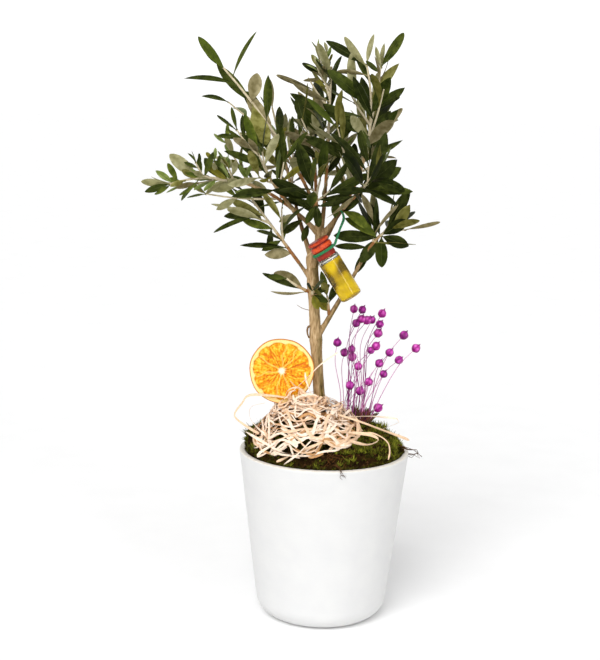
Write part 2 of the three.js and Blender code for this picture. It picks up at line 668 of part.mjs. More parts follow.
// All leaves along one twig, skipping those that find no free place
function leavesAlong(twig, owner, random) {
  const frames = framesOf(twig.line);
  const pairs = Math.max(1, Math.round((twig.length - BARE_FOOT) / (PAIR_SPACING * twig.space)));
  const leaves = [];
  for (let k = 0; k <= pairs; k++) {
    const part = mix(BARE_FOOT / twig.length, 0.985, k / pairs);
    const roll = twig.roll + 90 * k + 24 * (random() - 0.5);
    for (const half of [0, 180]) {
      const splay = mix(LEAF_SPLAY_FOOT, LEAF_SPLAY_TIP, part) + 16 * (random() - 0.5);
      const age = 0.62 + 0.38 * Math.sin(Math.PI * (0.22 + 0.62 * part));
      const length = LEAF_LENGTH * twig.leaf * age * (0.85 + 0.3 * random());
      const width = length * LEAF_SLIM * (0.85 + 0.35 * random());
      const twist = 50 * (random() - 0.5);
      const arch = 0.14 * (random() - 0.4);
      for (const turn of LEAF_TURNS) {
        const frame = frameAt(frames, part);
        const leaf = placeLeaf(frame, roll + half + turn, splay, length, width, twist, arch);
        const whole = leafSolid(leaf, 0, LEAF_PROBE_MARGIN);
        const outer = leafSolid(leaf, LEAF_PROBE_START, LEAF_PROBE_MARGIN);
        if (isFree(whole, outer, owner)) {
          claim(leafSolid(leaf, 0, 0), owner);
          leaves.push(leaf);
          break;
        }
      }
    }
  }
  return leaves;
}

// Side twigs spiral up the stem, shorter towards its tip and turning upwards
function sideTwig(stem, shoot, k, random) {
  const part = mix(TWIG_FIRST, TWIG_LAST, (k + 0.6 * random()) / shoot.twigs);
  const frame = frameAt(framesOf(stem.line), part);
  const turn = radians(shoot.roll + TWIG_TURN * k + 30 * (random() - 0.5));
  const splay = radians(TWIG_SPLAY + 20 * (random() - 0.5));
  const length = stem.length * TWIG_REACH * (1.1 - 0.6 * part) * (0.8 + 0.4 * random());
  const way = frame.across.clone().multiplyScalar(Math.cos(turn));
  way.addScaledVector(frame.side, Math.sin(turn));
  way.multiplyScalar(Math.sin(splay)).addScaledVector(frame.ahead, Math.cos(splay));
  const heading = THREE.MathUtils.radToDeg(Math.atan2(way.y, way.x));
  const rise = THREE.MathUtils.radToDeg(Math.asin(way.z));
  const steps = Math.max(2, Math.round(length / TWIG_STEP));
  const line = growLine(frame.point, heading, rise, [length, TWIG_LIFT, 0], steps);
  return { line, length, roll: shoot.roll + 45 * k, leaf: shoot.leaf, space: shoot.space };
}

function twigSolid(line, thick, thin, sides) {
  return toSolid(limbGeometry(line, (part) => mix(thick, thin, part), sides));
}

// The leafy stem of a limb carries on from its bough; a sprig's stem leaves its limb directly
function stemOf(row) {
  const limb = lines[row.name];
  const steps = Math.max(2, Math.round(row.stem[0] / STEM_STEP));
  const heading = row.heading + (limb ? row.bough[2] : 0);
  const rise = row.rise + (limb ? row.bough[1] : 0);
  const way = aim(heading, rise);
  let start = null;
  if (limb) {
    const tilt = radians(Math.abs(row.stem[1]) / steps / 2);
    start = limb.at(-1).clone().addScaledVector(way, GAP + BOUGH_TIP_RADIUS * Math.sin(tilt));
  } else {
    const frame = frameAt(framesOf(lines[row.on]), row.at);
    const angle = frame.ahead.angleTo(way);
    const clearance = radii[row.on](row.at) + GAP + TWIG_RADIUS * Math.abs(Math.cos(angle));
    start = frame.point.addScaledVector(way, clearance / Math.sin(angle));
  }
  const line = growLine(start, heading, rise, row.stem, steps);
  const solid = twigSolid(line, limb ? BOUGH_TIP_RADIUS : TWIG_RADIUS, STEM_TIP_RADIUS, TWIG_SIDES + 1);
  return { line, solid, length: row.stem[0], roll: row.roll, leaf: row.leaf, space: row.space };
}

// Twigs and leaves of one shoot, each kept only where it finds free space
function growShoot(row, stem) {
  const random = seeded(row.seed);
  const twigs = [];
  for (let k = 0; k < row.twigs; k++) {
    const twig = sideTwig(stem, row, k, random);
    const outerLine = [frameAt(framesOf(twig.line), TWIG_PROBE_START).point, ...twig.line.slice(1)];
    const whole = twigSolid(twig.line, TWIG_RADIUS + GAP, TWIG_TIP_RADIUS + GAP, TWIG_SIDES);
    const outer = twigSolid(outerLine, TWIG_RADIUS + GAP, TWIG_TIP_RADIUS + GAP, TWIG_SIDES);
    if (isFree(whole, outer, row.name)) {
      twig.solid = claim(twigSolid(twig.line, TWIG_RADIUS, TWIG_TIP_RADIUS, TWIG_SIDES), row.name);
      twigs.push(twig);
    }
  }
  const leaves = [stem, ...twigs].flatMap((twig) => leavesAlong(twig, row.name, random));
  return { twigs, leaves };
}

// Every stem stands before any leaf is set, and shoots nearest the viewer take their places first
const shoots = [...LIMBS, ...SPRIGS].map((row) => ({ row, stem: stemOf(row) }));
shoots.forEach(({ row, stem }) => claim(stem.solid, row.name));
const tipDepth = ({ stem }) => stem.line.at(-1).y;
shoots.sort((one, other) => tipDepth(one) - tipDepth(other));

for (const { row, stem } of shoots) {
  const { twigs, leaves } = growShoot(row, stem);
  const blades = leaves.map((leaf) => leafSolid(leaf, -LEAF_ROOT_SINK / leaf.length, 0));
  const whole = fuse([stem.solid, ...twigs.map((twig) => twig.solid), ...blades]);
  tree.add(piece(`foliage_${row.name}`, toGeometry(mainBody(whole)), leafFinish()));
}

export default bonsai;
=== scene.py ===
import math

import bpy
import numpy as np
from mathutils import Matrix, Vector, kdtree, noise


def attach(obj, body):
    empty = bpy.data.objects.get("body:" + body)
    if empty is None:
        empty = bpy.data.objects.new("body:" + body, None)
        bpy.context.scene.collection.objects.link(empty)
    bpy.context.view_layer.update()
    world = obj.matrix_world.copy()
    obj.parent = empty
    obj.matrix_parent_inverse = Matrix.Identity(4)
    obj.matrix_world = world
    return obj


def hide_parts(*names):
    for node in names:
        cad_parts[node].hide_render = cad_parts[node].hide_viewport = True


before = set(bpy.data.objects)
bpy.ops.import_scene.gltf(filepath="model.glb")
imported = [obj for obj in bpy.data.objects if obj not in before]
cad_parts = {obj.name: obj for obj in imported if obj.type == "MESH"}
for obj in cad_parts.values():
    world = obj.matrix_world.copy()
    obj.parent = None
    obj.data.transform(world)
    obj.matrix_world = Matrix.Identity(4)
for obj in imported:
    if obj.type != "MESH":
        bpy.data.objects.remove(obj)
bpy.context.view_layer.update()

# Sizes are in millimetres, as in the part's source, and become metres where a mesh is made.
# +Z is up, +X the right-hand side, -Y faces the viewer, and headings turn from +X towards +Y in degrees.
MM = 0.001
SEEDS = dict(moss=11, litter=31, orange=5, raffia=23, flax=17, flax_rule=43)
DRAW_START = 7919
DRAW_FACTOR = 16807
DRAW_RANGE = 2147483647


def table(columns, rows):
    """Rows by the names of their columns. A shorter row leaves out the last ones."""
    return [dict(zip(columns.split(), row)) for row in rows]


# Camera, at the photograph's place
IMAGE_WIDTH = 600
IMAGE_HEIGHT = 660
FOCAL_PIXELS = 1278
SENSOR = 36
CAMERA_PLACE = (-23.4, -1100, 450)
CAMERA_PITCH = 10
CAMERA_ROLL = 1.15

# Studio light
KEY_FROM = (-0.3, -0.8, 0.72)
KEY_STRENGTH = 1.85
KEY_SOFTNESS = 40
SKY_BAND = (0.12, 0.4)
SKY_DOME = 0.5
EXPOSURE = 0.22
STRIP_PLACE = (0.75, -1.1, 0.75)
STRIP_AIM = (0, 0, 0.35)
STRIP_SIZE = (0.16, 0.9)
STRIP_POWER = 2.5
FLOOR_HALF = 40
FLOOR_SHADES = (0.93, 0.95)

# Pot, soil and moss
POT_HEIGHT = 150
POT_RIM_RADIUS = 75
POT_FOOT_RADIUS = 56.5
POT_ROUNDING = 18
POT_WALL = 5
POT_LIP_ROUNDING = 1.4
POT_SIDES = 144
POT_ROWS = 96
POT_INNER_ROWS = 20
POT_RELIEF = 0.05
SOIL_TOP = 140
SOIL_SIDES = 96
SOIL_RINGS = 12
SOIL_GRIT = 0.8
MOSS_RADIUS = 68
MOSS_MIDDLE = 169
MOSS_BACK_EDGE = 164
MOSS_FRONT_EDGE = 149
MOSS_LUMP = 1.4
MOSS_SHOULDER = 9
MOSS_EDGE = 69.3
MOSS_SIDES = 168
MOSS_RINGS = 56
MOSS_TUFTS = 2700
MOSS_STARS = 330
MOSS_RIM_TUFTS = 620
MOSS_SHADES = (0.58, 0.88, 1.16)
# Blades of a tuft, their half width and how far they splay
TUFT = (8, 0.4, 0.95)
STAR = (13, 0.55, 1.3)
PLUME = (26, 0.6, 1.1)
# Plumes that stand out of the moss: across, away and height
MOSS_PLUMES = [
    (-66, -4, 9), (-63, 2, 9), (-67, -12, 7), (-60, 8, 7), (58, -22, 7), (62, -14, 7), (55, 20, 8),
    (60, 6, 7),
]

# Litter on the moss
LITTER_CRUMBS = 380
LITTER_FIBRES = 120
FIBRE_REACH = 64
FIBRE_RADIUS = 0.22
FIBRE_SIDES = 5
ROOTLET_STRANDS = 4
ROOTLET_RADII = (0.35, 0.14)

# Trunk and boughs, as in the part's source
TRUNK_FOOT = (0.5, 2, SOIL_TOP - 2)
TRUNK_AIM = (180, 84)
TRUNK_BEND = (192, 3, 0)
TRUNK_RADIUS_LOW = 5.2
TRUNK_RADIUS_HIGH = 4.7
ROOT_FLARE = 4.5
ROOT_FLARE_HEIGHT = 10
STUB_SLANT = 38
CROOK_START = 0.9
CROOK_AIM = (34, 70)
CROOK_BEND = (29, 10, 0)
CROOK_RADIUS = 4.3
BOUGH_TIP_RADIUS = 1.4
BOUGH_STEP = 13
COLLAR_SWELL = 0.55
COLLAR_REACH = 5
TRUNK_SWELL = 0.9
TRUNK_SWELL_REACH = 7
LIMB_SIDES = 20
SKIN_VOXEL = 0.5
SKIN_SMOOTHING = 5
CUT_REACH = 9
# The side of the limbs that is painted darker and mossier: painted shade on the right-hand side, with a mossy
# tint
SHADED_SIDE = (0.9, -0.25, -0.1)
# How young the wood of a limb looks, where it isn't 1
OLD_WOOD = {"trunk": 0, "crook": 0, "lower_right": 0.15}
GAP = 0.3

# Limbs: the bough's place and bend, its leafy stem, the rule's own values for its leaves,
# and how plump and how fresh those leaves look
LIMBS = table("name on at heading rise thick bough stem twigs roll leaf space seed plump look short", [
    ("left", "crook", 1, 180, 47, 2.6, (38, -10, 4), (109, -54, 21),
     4, 176, 0.69, 0.78, 177, 1.45, "fresh", 0.76),
    ("right", "crook", 0.97, 0, 47, 2.5, (40, 16, -4), (117, 41, -14),
     4, 152, 1.01, 0.81, 251, 1.1, "mixed"),
    ("crest", "crook", 0.9, 176, 86, 2.5, (52, -26, 4), (118, -13, 1),
     2, 95, 0.93, 1.72, 108, 1.1, "mixed"),
    ("top", "crook", 0.86, 65, 70, 2.4, (50, 16, 0), (100, -2, 12),
     4, 126, 0.93, 0.73, 198, 1, "mixed"),
    ("lower_right", "trunk", 0.575, 14, 58, 2.5, (92, 4, 0), (36, -69, -18),
     5, 14, 1.01, 0.77, 389, 1.2, "shade"),
    ("lower_left", "trunk", 0.83, 172, 56, 2, (24, -4, 0), (75, -2, -10),
     2, 28, 0.82, 0.82, 285, 1.1, "mixed"),
    ("right_front", "right", 0.8, 306, 34, 1.7, (18, 0, 0), (38, 7, -4),
     3, 90, 1.08, 0.85, 24, 1.1, "shade"),
    ("front_left", "left", 0.8, 232, 36, 1.7, (24, 4, 0), (50, 12, 8),
     3, 45, 1, 0.9, 262, 1, "mixed"),
    ("front", "crest", 0.3, 265, 38, 1.7, (24, 4, 0), (33, 3, 22),
     2, 100, 1.08, 1.25, 85, 1, "shade"),
    ("back_left", "trunk", 0.935, 128, 58, 2.4, (58, 8, 0), (85, 3, 6),
     4, 77, 0.9, 1.15, 188, 1, "mixed"),
    ("back_right", "crook", 0.3, 46, 52, 2.3, (60, 6, -6), (87, 20, 1),
     4, 54, 0.96, 1.37, 257, 1, "deep"),
    ("back", "crook", 0.62, 96, 58, 2.3, (56, 8, 0), (75, 0, 9),
     4, 2, 1.02, 0.86, 63, 1, "deep"),
])
SPRIGS = table("name on at heading rise stem twigs roll leaf space seed plump look", [
    ("sprig_left", "trunk", 0.785, 200, 22, (22, 18, -10), 0, 166, 0.72, 0.44, 116, 1.15, "mixed"),
    ("sprig_trunk", "trunk", 0.77, 262, 20, (13, 14, 10), 0, 156, 0.65, 0.45, 36, 1.2, "deep"),
    ("sprig_fork", "lower_right", 0.24, 250, 76, (15, -5, -8), 0, 151, 0.65, 0.7, 139, 1.2, "mixed"),
])

# A hooked bud and a dry thread on the trunk: places, first and last radius
THREAD_SIDES = 8
BARK_THREADS = [
    ([(-13, 0, 260), (-16.3, 0, 258.8), (-17, 0, 254), (-15.4, 0, 249.1)], 1.1, 0.6),
    ([(-12, 0, 273), (-17, 0, 274), (-22, 0, 275.5), (-26.4, 0, 278.1)], 0.35, 0.2),
]

# The rule for leafy shoots, as in the part's source
TWIG_RADIUS = 1.35
TWIG_TIP_RADIUS = 1.1
TWIG_STEP = 22
STEM_STEP = 17
TWIG_FIRST = 0.1
TWIG_LAST = 0.72
TWIG_TURN = 137.5
TWIG_SPLAY = 40
TWIG_REACH = 0.46
TWIG_LIFT = 14
BARE_FOOT = 7
PAIR_SPACING = 17
LEAF_LENGTH = 40
LEAF_SLIM = 0.24
LEAF_SPLAY_FOOT = 54
LEAF_SPLAY_TIP = 24
LEAF_TURNS = (0, 24, -24, 48, -48)
CORNER_NEAR = 0.25

# Fine shape of shoots and leaves
STEM_RADII = (1.6, 0.85)
SIDE_TWIG_RADII = (1.15, 0.6)
STEM_SINK = 2.5
TWIG_SIDES = 7
TWIG_AGES = (0.16, 0.4)
SINGLE_PLUMP = 1.16
LEAF_MIDDLE = 0.6
LEAF_CUP = 0.85
SHOOT_TURN = 62
LEAF_STATIONS = np.array((0, 0.04, 0.08, 0.15, 0.25, 0.38, 0.52, 0.66, 0.78, 0.87, 0.94, 0.98, 1))
LEAF_PLUMP = 0.87
CROWN_DEPTH = 23
EDGE_ON = 0.22
LEAF_STALK = 0.08
LEAF_STALK_HALF = 0.55
LEAF_THICK = 0.4
RIB_HALF = 0.2
LEAF_GRAIN = 5
# How far a whole leaf may be lighter than its neighbours, at random, by mixing in its painted-highlight tone
LEAF_GLOW = 0.5
LEAF_GLOW_STEPS = 7
LEAF_ACROSS = np.array((1, 0.55, 0.1, -0.1, -0.55, -1, -0.5, 0, 0.5))

# Finer shoots that carry the rule on: where each leaves its stem, and its own leaves
FINE_SHOOTS = table("name at heading rise bend roll leaf space splay plump look tips", [
    ("right", 0.56, 0, 78, (50, 6, 0), 0, 0.7, 1.15, (50, 22), 1.05, "deep",
     [(1, 0, 57, 34, 0.24, 0.9, "dark"), (1, 300, 84, 20, 0.2, -0.8, "grey"), (0.9, 180, 40, 16, 0.3, 0.8)]),
    ("front_left", 0.95, 180, 38, (28, 20, 0), 90, 0.68, 0.8, (60, 25), 1, "mixed"),
    ("top", 0.72, 175, 72, (42, 4, 0), 20, 0.4, 0.5, (52, 20), 1.3, "pale"),
    ("top", 0.8, 185, 48, (24, 20, 0), 70, 0.36, 0.45, (55, 20), 1.3, "pale"),
    ("top", 0.86, 150, 80, (26, 0, 0), 30, 0.32, 0.4, (52, 20), 1.3, "pale"),
    ("left", 0.36, 170, 62, (15, 4, 0), 10, 0.4, 0.42, (55, 22), 1.5, "fresh"),
    ("left", 0.48, 185, 66, (16, 4, 0), 50, 0.4, 0.42, (55, 22), 1.5, "fresh"),
    ("left", 0.6, 160, 70, (15, 4, 0), 80, 0.38, 0.4, (55, 22), 1.5, "fresh"),
    ("left", 0.72, 190, 60, (15, 4, 0), 120, 0.38, 0.4, (55, 22), 1.5, "fresh"),
])

# Single leaves on a stem: where, heading, rise, length, slimness, how far the upper side faces the viewer,
# and the colour of the side that shows if the stem's own look does not give it
SINGLE_LEAVES = {
    "crest": [
        (0.66, 152, 42, 48, 0.2, 0.9, "dark"), (0.9, 0, 62, 44, 0.12, 0.5, "dark"),
        (0.68, 350, 80, 25, 0.48, -0.9, "taupe"), (0.84, 180, 4, 46, 0.13, 0.6, "dark"),
        (0.5, 0, 88, 40, 0.2, 0.5, "dark"), (0.4, 180, 53, 40, 0.3, -0.7, "taupe"),
        (0.97, 170, 46, 37, 0.22, 0.9, "green"), (0.68, 300, -50, 44, 0.36, -0.9, "olive"),
    ],
    "right": [
        (0.36, 0, 59, 42, 0.34, 0.9, "deep"), (0.68, 0, 32, 34, 0.26, 0.8, "dark"),
        (0.7, 180, 38, 48, 0.23, 0.9, "dark"), (0.48, 180, 34, 48, 0.25, 0.9, "deep"),
        (0.34, 180, 14, 42, 0.24, 0.9, "deep"), (1, 180, 30, 40, 0.2, 0.8, "deep"),
        (0.92, 180, 8, 28, 0.17, -0.6, "taupe"), (0.2, 130, 60, 26, 0.42, -0.9, "grey"),
        (0.5, 60, 75, 34, 0.25, -0.6, "olive"), (1, 20, 80, 26, 0.2, -0.8, "grey"),
    ],
    "top": [
        (0.7, 180, 26, 38, 0.21, -0.5, "taupe"), (0.6, 180, 22, 38, 0.22, 0.8, "deep"),
        (0.9, 180, 26, 28, 0.2, 0.8, "deep"), (0.84, 180, 10, 24, 0.17, -0.5, "taupe"),
        (0.4, 180, 42, 40, 0.28, 0.9, "dark"), (0.3, 0, 48, 38, 0.28, 0.9, "dark"),
    ],
    "left": [
        (0.76, 180, 40, 32, 0.34, -0.8), (0.93, 180, 60, 18, 0.3, 0.7), (0.72, 20, 70, 24, 0.24, 0.6),
        (1, 182, 0, 24, 0.3, -0.8), (1, 185, -18, 22, 0.28, 0.8), (0.97, 180, 35, 18, 0.32, 0.8),
        (0.6, 160, 52, 22, 0.36, 0.8), (0.5, 170, 46, 22, 0.36, 0.8), (0.42, 175, -14, 28, 0.34, -0.9),
    ],
    "lower_right": [
        (0.35, 180, 2, 40, 0.27, 0.9, "deep"), (0.35, 200, -52, 28, 0.4, 0.9, "deep"),
        (0.42, 280, -80, 28, 0.4, 0.9, "dark"), (0.4, 0, -20, 26, 0.42, 0.9, "deep"),
        (0.42, 0, 32, 26, 0.42, 0.9, "deep"), (0.7, 0, 58, 28, 0.34, -0.8, "olive"),
        (0.38, 160, 68, 32, 0.28, 0.9, "deep"), (0.3, 180, 32, 34, 0.32, 0.7, "green"),
        (1, 0, 14, 32, 0.16, -0.6, "taupe"), (0.05, 190, -62, 28, 0.28, 0.9, "deep"),
        (0, 180, 3, 30, 0.2, 0.9, "deep"),
    ],
    "lower_left": [
        (0.66, 180, -22, 46, 0.11, 0.5, "dark"), (0.18, 180, 0, 42, 0.15, 0.6, "deep"),
        (0.72, 180, -12, 32, 0.27, 0.8, "deep"), (0.1, 180, -4, 24, 0.36, -0.9, "taupe"),
        (0.5, 100, -60, 24, 0.24, 0.8, "deep"), (0.3, 185, -30, 20, 0.34, 0.9, "dark"),
    ],
    "front": [
        (0.3, 180, 6, 38, 0.2, 0.9, "deep"), (0.05, 300, -78, 20, 0.36, 0.9, "deep"),
        (0.02, 200, -62, 19, 0.34, 0.9, "dark"),
    ],
    "right_front": [
        (0.1, 200, -42, 32, 0.28, -0.4, "taupe"), (0.8, 0, -22, 30, 0.32, 0.9, "deep"),
        (0.15, 0, 42, 44, 0.34, 0.9, "deep"), (0.05, 210, -12, 34, 0.24, 0.9, "deep"),
    ],
    "bough_left": [
        (0.55, 180, -36, 23, 0.3, 0.8, "deep"), (0.72, 180, -26, 18, 0.32, -0.8, "grey"),
        (0.4, 250, -50, 20, 0.3, 0.8, "deep"),
    ],
    "bough_top": [
        (0.6, 180, 8, 36, 0.2, 0.9, "deep"), (0.45, 200, 30, 30, 0.24, 0.8, "deep"),
    ],
    "bough_right": [
        (0.72, 0, -30, 27, 0.4, 0.7, "green"), (0.6, 20, 40, 30, 0.3, 0.8, "deep"),
        (0.5, 270, 60, 22, 0.34, 0.9, "dark"),
    ],
    "sprig_left": [
        (0.1, 180, 20, 40, 0.14, 0.6, "deep"), (0.15, 180, 27, 30, 0.42, -0.85, "taupe"),
        (0, 182, -2, 32, 0.13, -0.5, "taupe"), (1, 190, 10, 16, 0.3, 0.8, "dark"),
    ],
    "sprig_trunk": [
        (0.2, 0, 30, 17, 0.32, 0.9, "deep"), (0.3, 320, -65, 14, 0.5, 0.8, "yellow"),
        (0.1, 340, -20, 15, 0.4, 0.9, "dark"),
    ],
    "sprig_fork": [
        (0, 200, 50, 13, 0.55, 0.9, "yellow"), (0.7, 20, 60, 19, 0.28, 0.9, "deep"),
    ],
}

# Where the photograph shows sky or bare wood in the crown: column, row and radius in pixels
SKY_GAPS = [
    (345, 44, 9), (350, 64, 9), (365, 75, 6), (400, 72, 13), (400, 102, 11), (396, 134, 7), (402, 162, 14),
    (408, 176, 9), (399, 196, 8), (411, 216, 6), (425, 234, 9), (295, 55, 9), (283, 77, 7), (305, 90, 7),
    (289, 118, 8), (221, 89, 8), (233, 102, 8), (259, 95, 7), (241, 133, 7), (353, 136, 6), (350, 108, 9),
    (205, 198, 8), (236, 206, 9), (267, 215, 9), (280, 213, 6), (295, 243, 6), (272, 278, 7),
    (208, 160, 7), (280, 267, 7), (292, 270, 8), (313, 278, 7), (313, 300, 7), (283, 288, 8),
    (298, 281, 6), (322, 50, 8), (257, 108, 7), (316, 60, 6), (318, 70, 7), (324, 88, 6), (369, 46, 6),
    (291, 108, 6), (394, 170, 7), (404, 198, 6), (246, 72, 5), (239, 104, 5), (212, 48, 6), (241, 58, 7),
    (235, 177, 6), (244, 178, 5), (420, 218, 5), (242, 66, 5), (372, 54, 4), (380, 66, 4),
]

# Dressing, as in the part's source
SLICE_MIDDLE = (-38.7, -7.6, 221)
SLICE_RADIUS = 28.3
SLICE_HALF = 2.1
SLICE_LEAN = 6
SLICE_SEGMENTS = 10
SLICE_SIDES = 240
SLICE_RINGS = 62
SLICE_WARP = 0.35
SLICE_EDGE = 0.955
SLICE_EDGE_WIDTH = 0.045
NEST_MIDDLE = np.array((-15, -14))
NEST_REACH = np.array((48, 42))
NEST_RISE = 28
NEST_RIBBONS = 190
NEST_STEP = 0.26
NEST_CURLS = 17
NEST_PEAK = (-23, -17, 197)
RIBBON_THICK = 0.16
STRAY_HEART = (-15, 46, 186)
FLAX_FOOT = np.array((28, 15, 176))
FLAX_FOOT_REACH = np.array((15, 10))
FLAX_HEAD_RADIUS = 3.5
FLAX_DEPTH = 30
FLAX_BOW = 0.075
FLAX_STEM_RADII = (0.4, 0.24)
FLAX_BARE_STEMS = 10
FLAX_BARE_RADII = (0.36, 0.18)
FLAX_FOOT_STRAWS = 170
FLAX_STEM_SIDES = 6
FLAX_HEAD_SIDES = 20
FLAX_HEADS = [
    (-4, 95), (3, 96), (3, 87), (-2, 83), (8, 85), (13, 83), (22, 89), (20, 80), (19, 71), (16, 64),
    (13, 56), (-18, 65), (-5, 58), (-11, 53), (-4, 50), (1, 44), (29, 56), (42, 70), (51, 63), (38, 48),
    (20, 46), (24, 37), (-6, 27), (3, 22), (11, 29), (20, 6),
]
BOTTLE_BASE = (20.4, -16.2, 288.6)
BOTTLE_LEAN = -32.5
BOTTLE_RADIUS = 9.7
BOTTLE_BODY = 37.5
BOTTLE_GLASS = 1.2
BOTTLE_SIDES = 64
BOTTLE_FOOT_ROUNDING = 1.6
BOTTLE_HOLLOW_ROUNDING = 1.4
BOTTLE_BITE = 0.06
OIL_TOP = 37
SEAL_TOP = 57
SEAL_RADIUS = 9.6
NECK_RADIUS = SEAL_RADIUS - 1
TIE_LOW = 44.6
TIE_WIDTH = 3.4
TIE_INSET = 0.9
TIE_CORD_RADIUS = 1
TIE_TWIST = 3.4
TIE_STEPS = 60
TIE_AT = 0.72

# Rootlets over the rim, each by the places it passes
ROOTLETS = [
    [(66, -12, 158), (71, -9, 154), (76, -7, 152), (80, -6, 151), (84, -5, 147)],
    [(68, -10, 156), (73, -8, 150), (78, -7, 147), (81, -6, 149), (86, -6, 145)],
    [(8, -66, 154), (11, -70, 152), (13, -73, 150.5), (13.5, -74.5, 148), (16, -75, 146)],
]

# Loose ribbons of raffia, each by the places it passes
RAFFIA_STRAYS = [
    [(-22, -15, 197), (-45, -15, 200), (-66, -14, 200), (-73, -13, 192), (-79, -12, 183), (-77, -13, 178),
     (-66, -16, 171), (-55, -20, 166)],
    [(-38, -46, 170), (-46, -50, 165), (-55, -51, 159), (-57, -50, 155), (-50, -49, 158)],
    [(-52, -25, 196), (-64, -28, 193), (-65, -30, 184), (-57, -31, 174), (-43, -34, 163)],
    [(-68, -44, 175), (-52, -48, 167), (-36, -50, 159), (-22, -50, 158)],
    [(-41, -58, 153), (-33, -59, 157), (-20, -58, 163), (-2, -54, 170)],
    [(-35, -60, 151), (-24, -60, 160), (-12, -54, 171)],
    [(12, -25, 184), (38, -25, 186), (62, -24, 184), (64, -24, 181), (50, -28, 176)],
    [(8, -40, 176), (26, -44, 175), (40, -44, 176), (52, -46, 170), (55, -47, 162), (54, -48, 154)],
    [(10, -28, 188), (30, -29, 182), (46, -28, 176), (66, -24, 168), (74, -16, 163)],
    [(22, -47, 169), (36, -49, 167), (45, -48, 171), (38, -46, 175), (20, -43, 176)],
    [(9.3, -17, 240), (-5.5, -17, 228.7), (-16, -17, 217.4), (-26.7, -17, 207), (-36, -18, 198)],
    [(-18.3, -16, 221.8), (-17.3, -17, 215), (-13.7, -18, 205.5), (-11, -18, 195)],
    [(-31.2, -15, 214), (-26.8, -16, 209.6), (-20, -18, 205.3), (-11.8, -19, 197)],
    [(-36, -16, 195), (-33.2, -16, 205), (-25.9, -17, 208.3), (-18, -18, 205.4), (-14.8, -18, 196)],
    [(-42, -17, 192), (-31, -18, 196.2), (-18, -19, 200.9), (-5, -19, 199.9), (3, -18, 193)],
    [(-29, -18, 193), (-24, -18, 200), (-15, -19, 203), (-7, -19, 201), (-1, -20, 192)],
]


# Small helpers for lines and directions
def unit(vector):
    return vector / np.linalg.norm(vector)


def mix(low, high, part):
    return low + (high - low) * part


def smooth_step(value, low, high):
    part = np.clip((value - low) / (high - low), 0, 1)
    return part * part * (3 - 2 * part)


def seeded(seed):
    """The source's own run of even draws between 0 and 1."""
    state = (seed * DRAW_START) % DRAW_RANGE

    def draw():
        nonlocal state
        state = (state * DRAW_FACTOR) % DRAW_RANGE
        return state / DRAW_RANGE

    draw()
    draw()
    return draw


def polar(turn, spread):
    return spread * math.cos(turn), spread * math.sin(turn)


def full_turn(count):
    return np.linspace(0, math.tau, count, endpoint=False)


def turned(across, side, turn):
    """The direction a turn away from across, towards side."""
    return across * math.cos(turn) + side * math.sin(turn)


def aim(heading, rise):
    level = math.cos(math.radians(rise))
    across = level * math.cos(math.radians(heading))
    away = level * math.sin(math.radians(heading))
    return np.array((across, away, math.sin(math.radians(rise))))


def grow_line(start, heading, rise, bend, steps):
    length, lift, sweep_turn = bend
    line = [np.array(start, float)]
    for i in range(steps):
        part = (i + 0.5) / steps
        step = aim(heading + sweep_turn * part, rise + lift * part) * length / steps
        line.append(line[-1] + step)
    return np.array(line)


def frames_of(line):
    """The point, the way ahead and two cross directions at every point of a line."""
    frames = []
    across = None
    last = len(line) - 1
    for i, point in enumerate(line):
        ahead = unit(line[min(i + 1, last)] - line[max(i - 1, 0)])
        if across is None:
            across = np.array((1.0, 0, 0)) if abs(ahead[2]) > 0.9 else np.array((0, 0, 1.0))
        across = unit(across - ahead * across.dot(ahead))
        frames.append((point, ahead, across, np.cross(across, ahead)))
    return frames


def frame_at(frames, part):
    spot = part * (len(frames) - 1)
    low = min(int(spot), len(frames) - 2)
    point = mix(frames[low][0], frames[low + 1][0], spot - low)
    return (point, *frames[int(spot + 0.5)][1:])


def smooth_line(line, step):
    """A line drawn through the given points as a smooth curve, with points about a step apart."""
    line = np.asarray(line, float)
    ends = np.vstack((2 * line[0] - line[1], line, 2 * line[-1] - line[-2]))
    points = [line[0]]
    for before, start, end, after in zip(ends, ends[1:], ends[2:], ends[3:]):
        count = max(1, round(np.linalg.norm(end - start) / step))
        for k in range(1, count + 1):
            t = k / count
            curve = (2 * before - 5 * start + 4 * end - after) * t * t
            curve += (3 * start - before - 3 * end + after) * t ** 3
            points.append(start + 0.5 * ((end - before) * t + curve))
    return np.array(points)


def walked_along(line):
    """How far along a line each of its points lies."""
    return np.r_[0, np.cumsum(np.linalg.norm(np.diff(line, axis=0), axis=1))]


def tree_of(points):
    tree = kdtree.KDTree(len(points))
    for i, point in enumerate(points):
        tree.insert(point, i)
    tree.balance()
    return tree


# Meshes: shapes are gathered as corners, faces and the number of each face's material
class Heap:
    def __init__(self):
        self.corners = []
        self.faces = []
        self.kinds = []
        self.sheens = []
        self.count = 0

    def add(self, shape, kind=0, sheen=None):
        corners, faces = shape
        self.corners.append(corners)
        self.faces.extend([[corner + self.count for corner in face] for face in faces])
        self.kinds.extend([kind] * len(faces) if np.isscalar(kind) else kind)
        if sheen is not None:
            self.sheens.append(sheen)
        self.count += len(corners)

    def mesh(self, name):
        made = bpy.data.meshes.new(name)
        made.from_pydata(np.vstack(self.corners) * MM, [], self.faces)
        made.polygons.foreach_set("material_index", self.kinds)
        if self.sheens:
            sheen = made.attributes.new("sheen", "FLOAT", "POINT")
            sheen.data.foreach_set("value", np.concatenate(self.sheens))
        return made


def mesh_of(name, shape, kind=0, sheen=None):
    heap = Heap()
    heap.add(shape, kind, sheen)
    return heap.mesh(name)


def stand(name, data):
    """An object with the given data, set in the scene."""
    made = bpy.data.objects.new(name, data)
    bpy.context.scene.collection.objects.link(made)
    return made


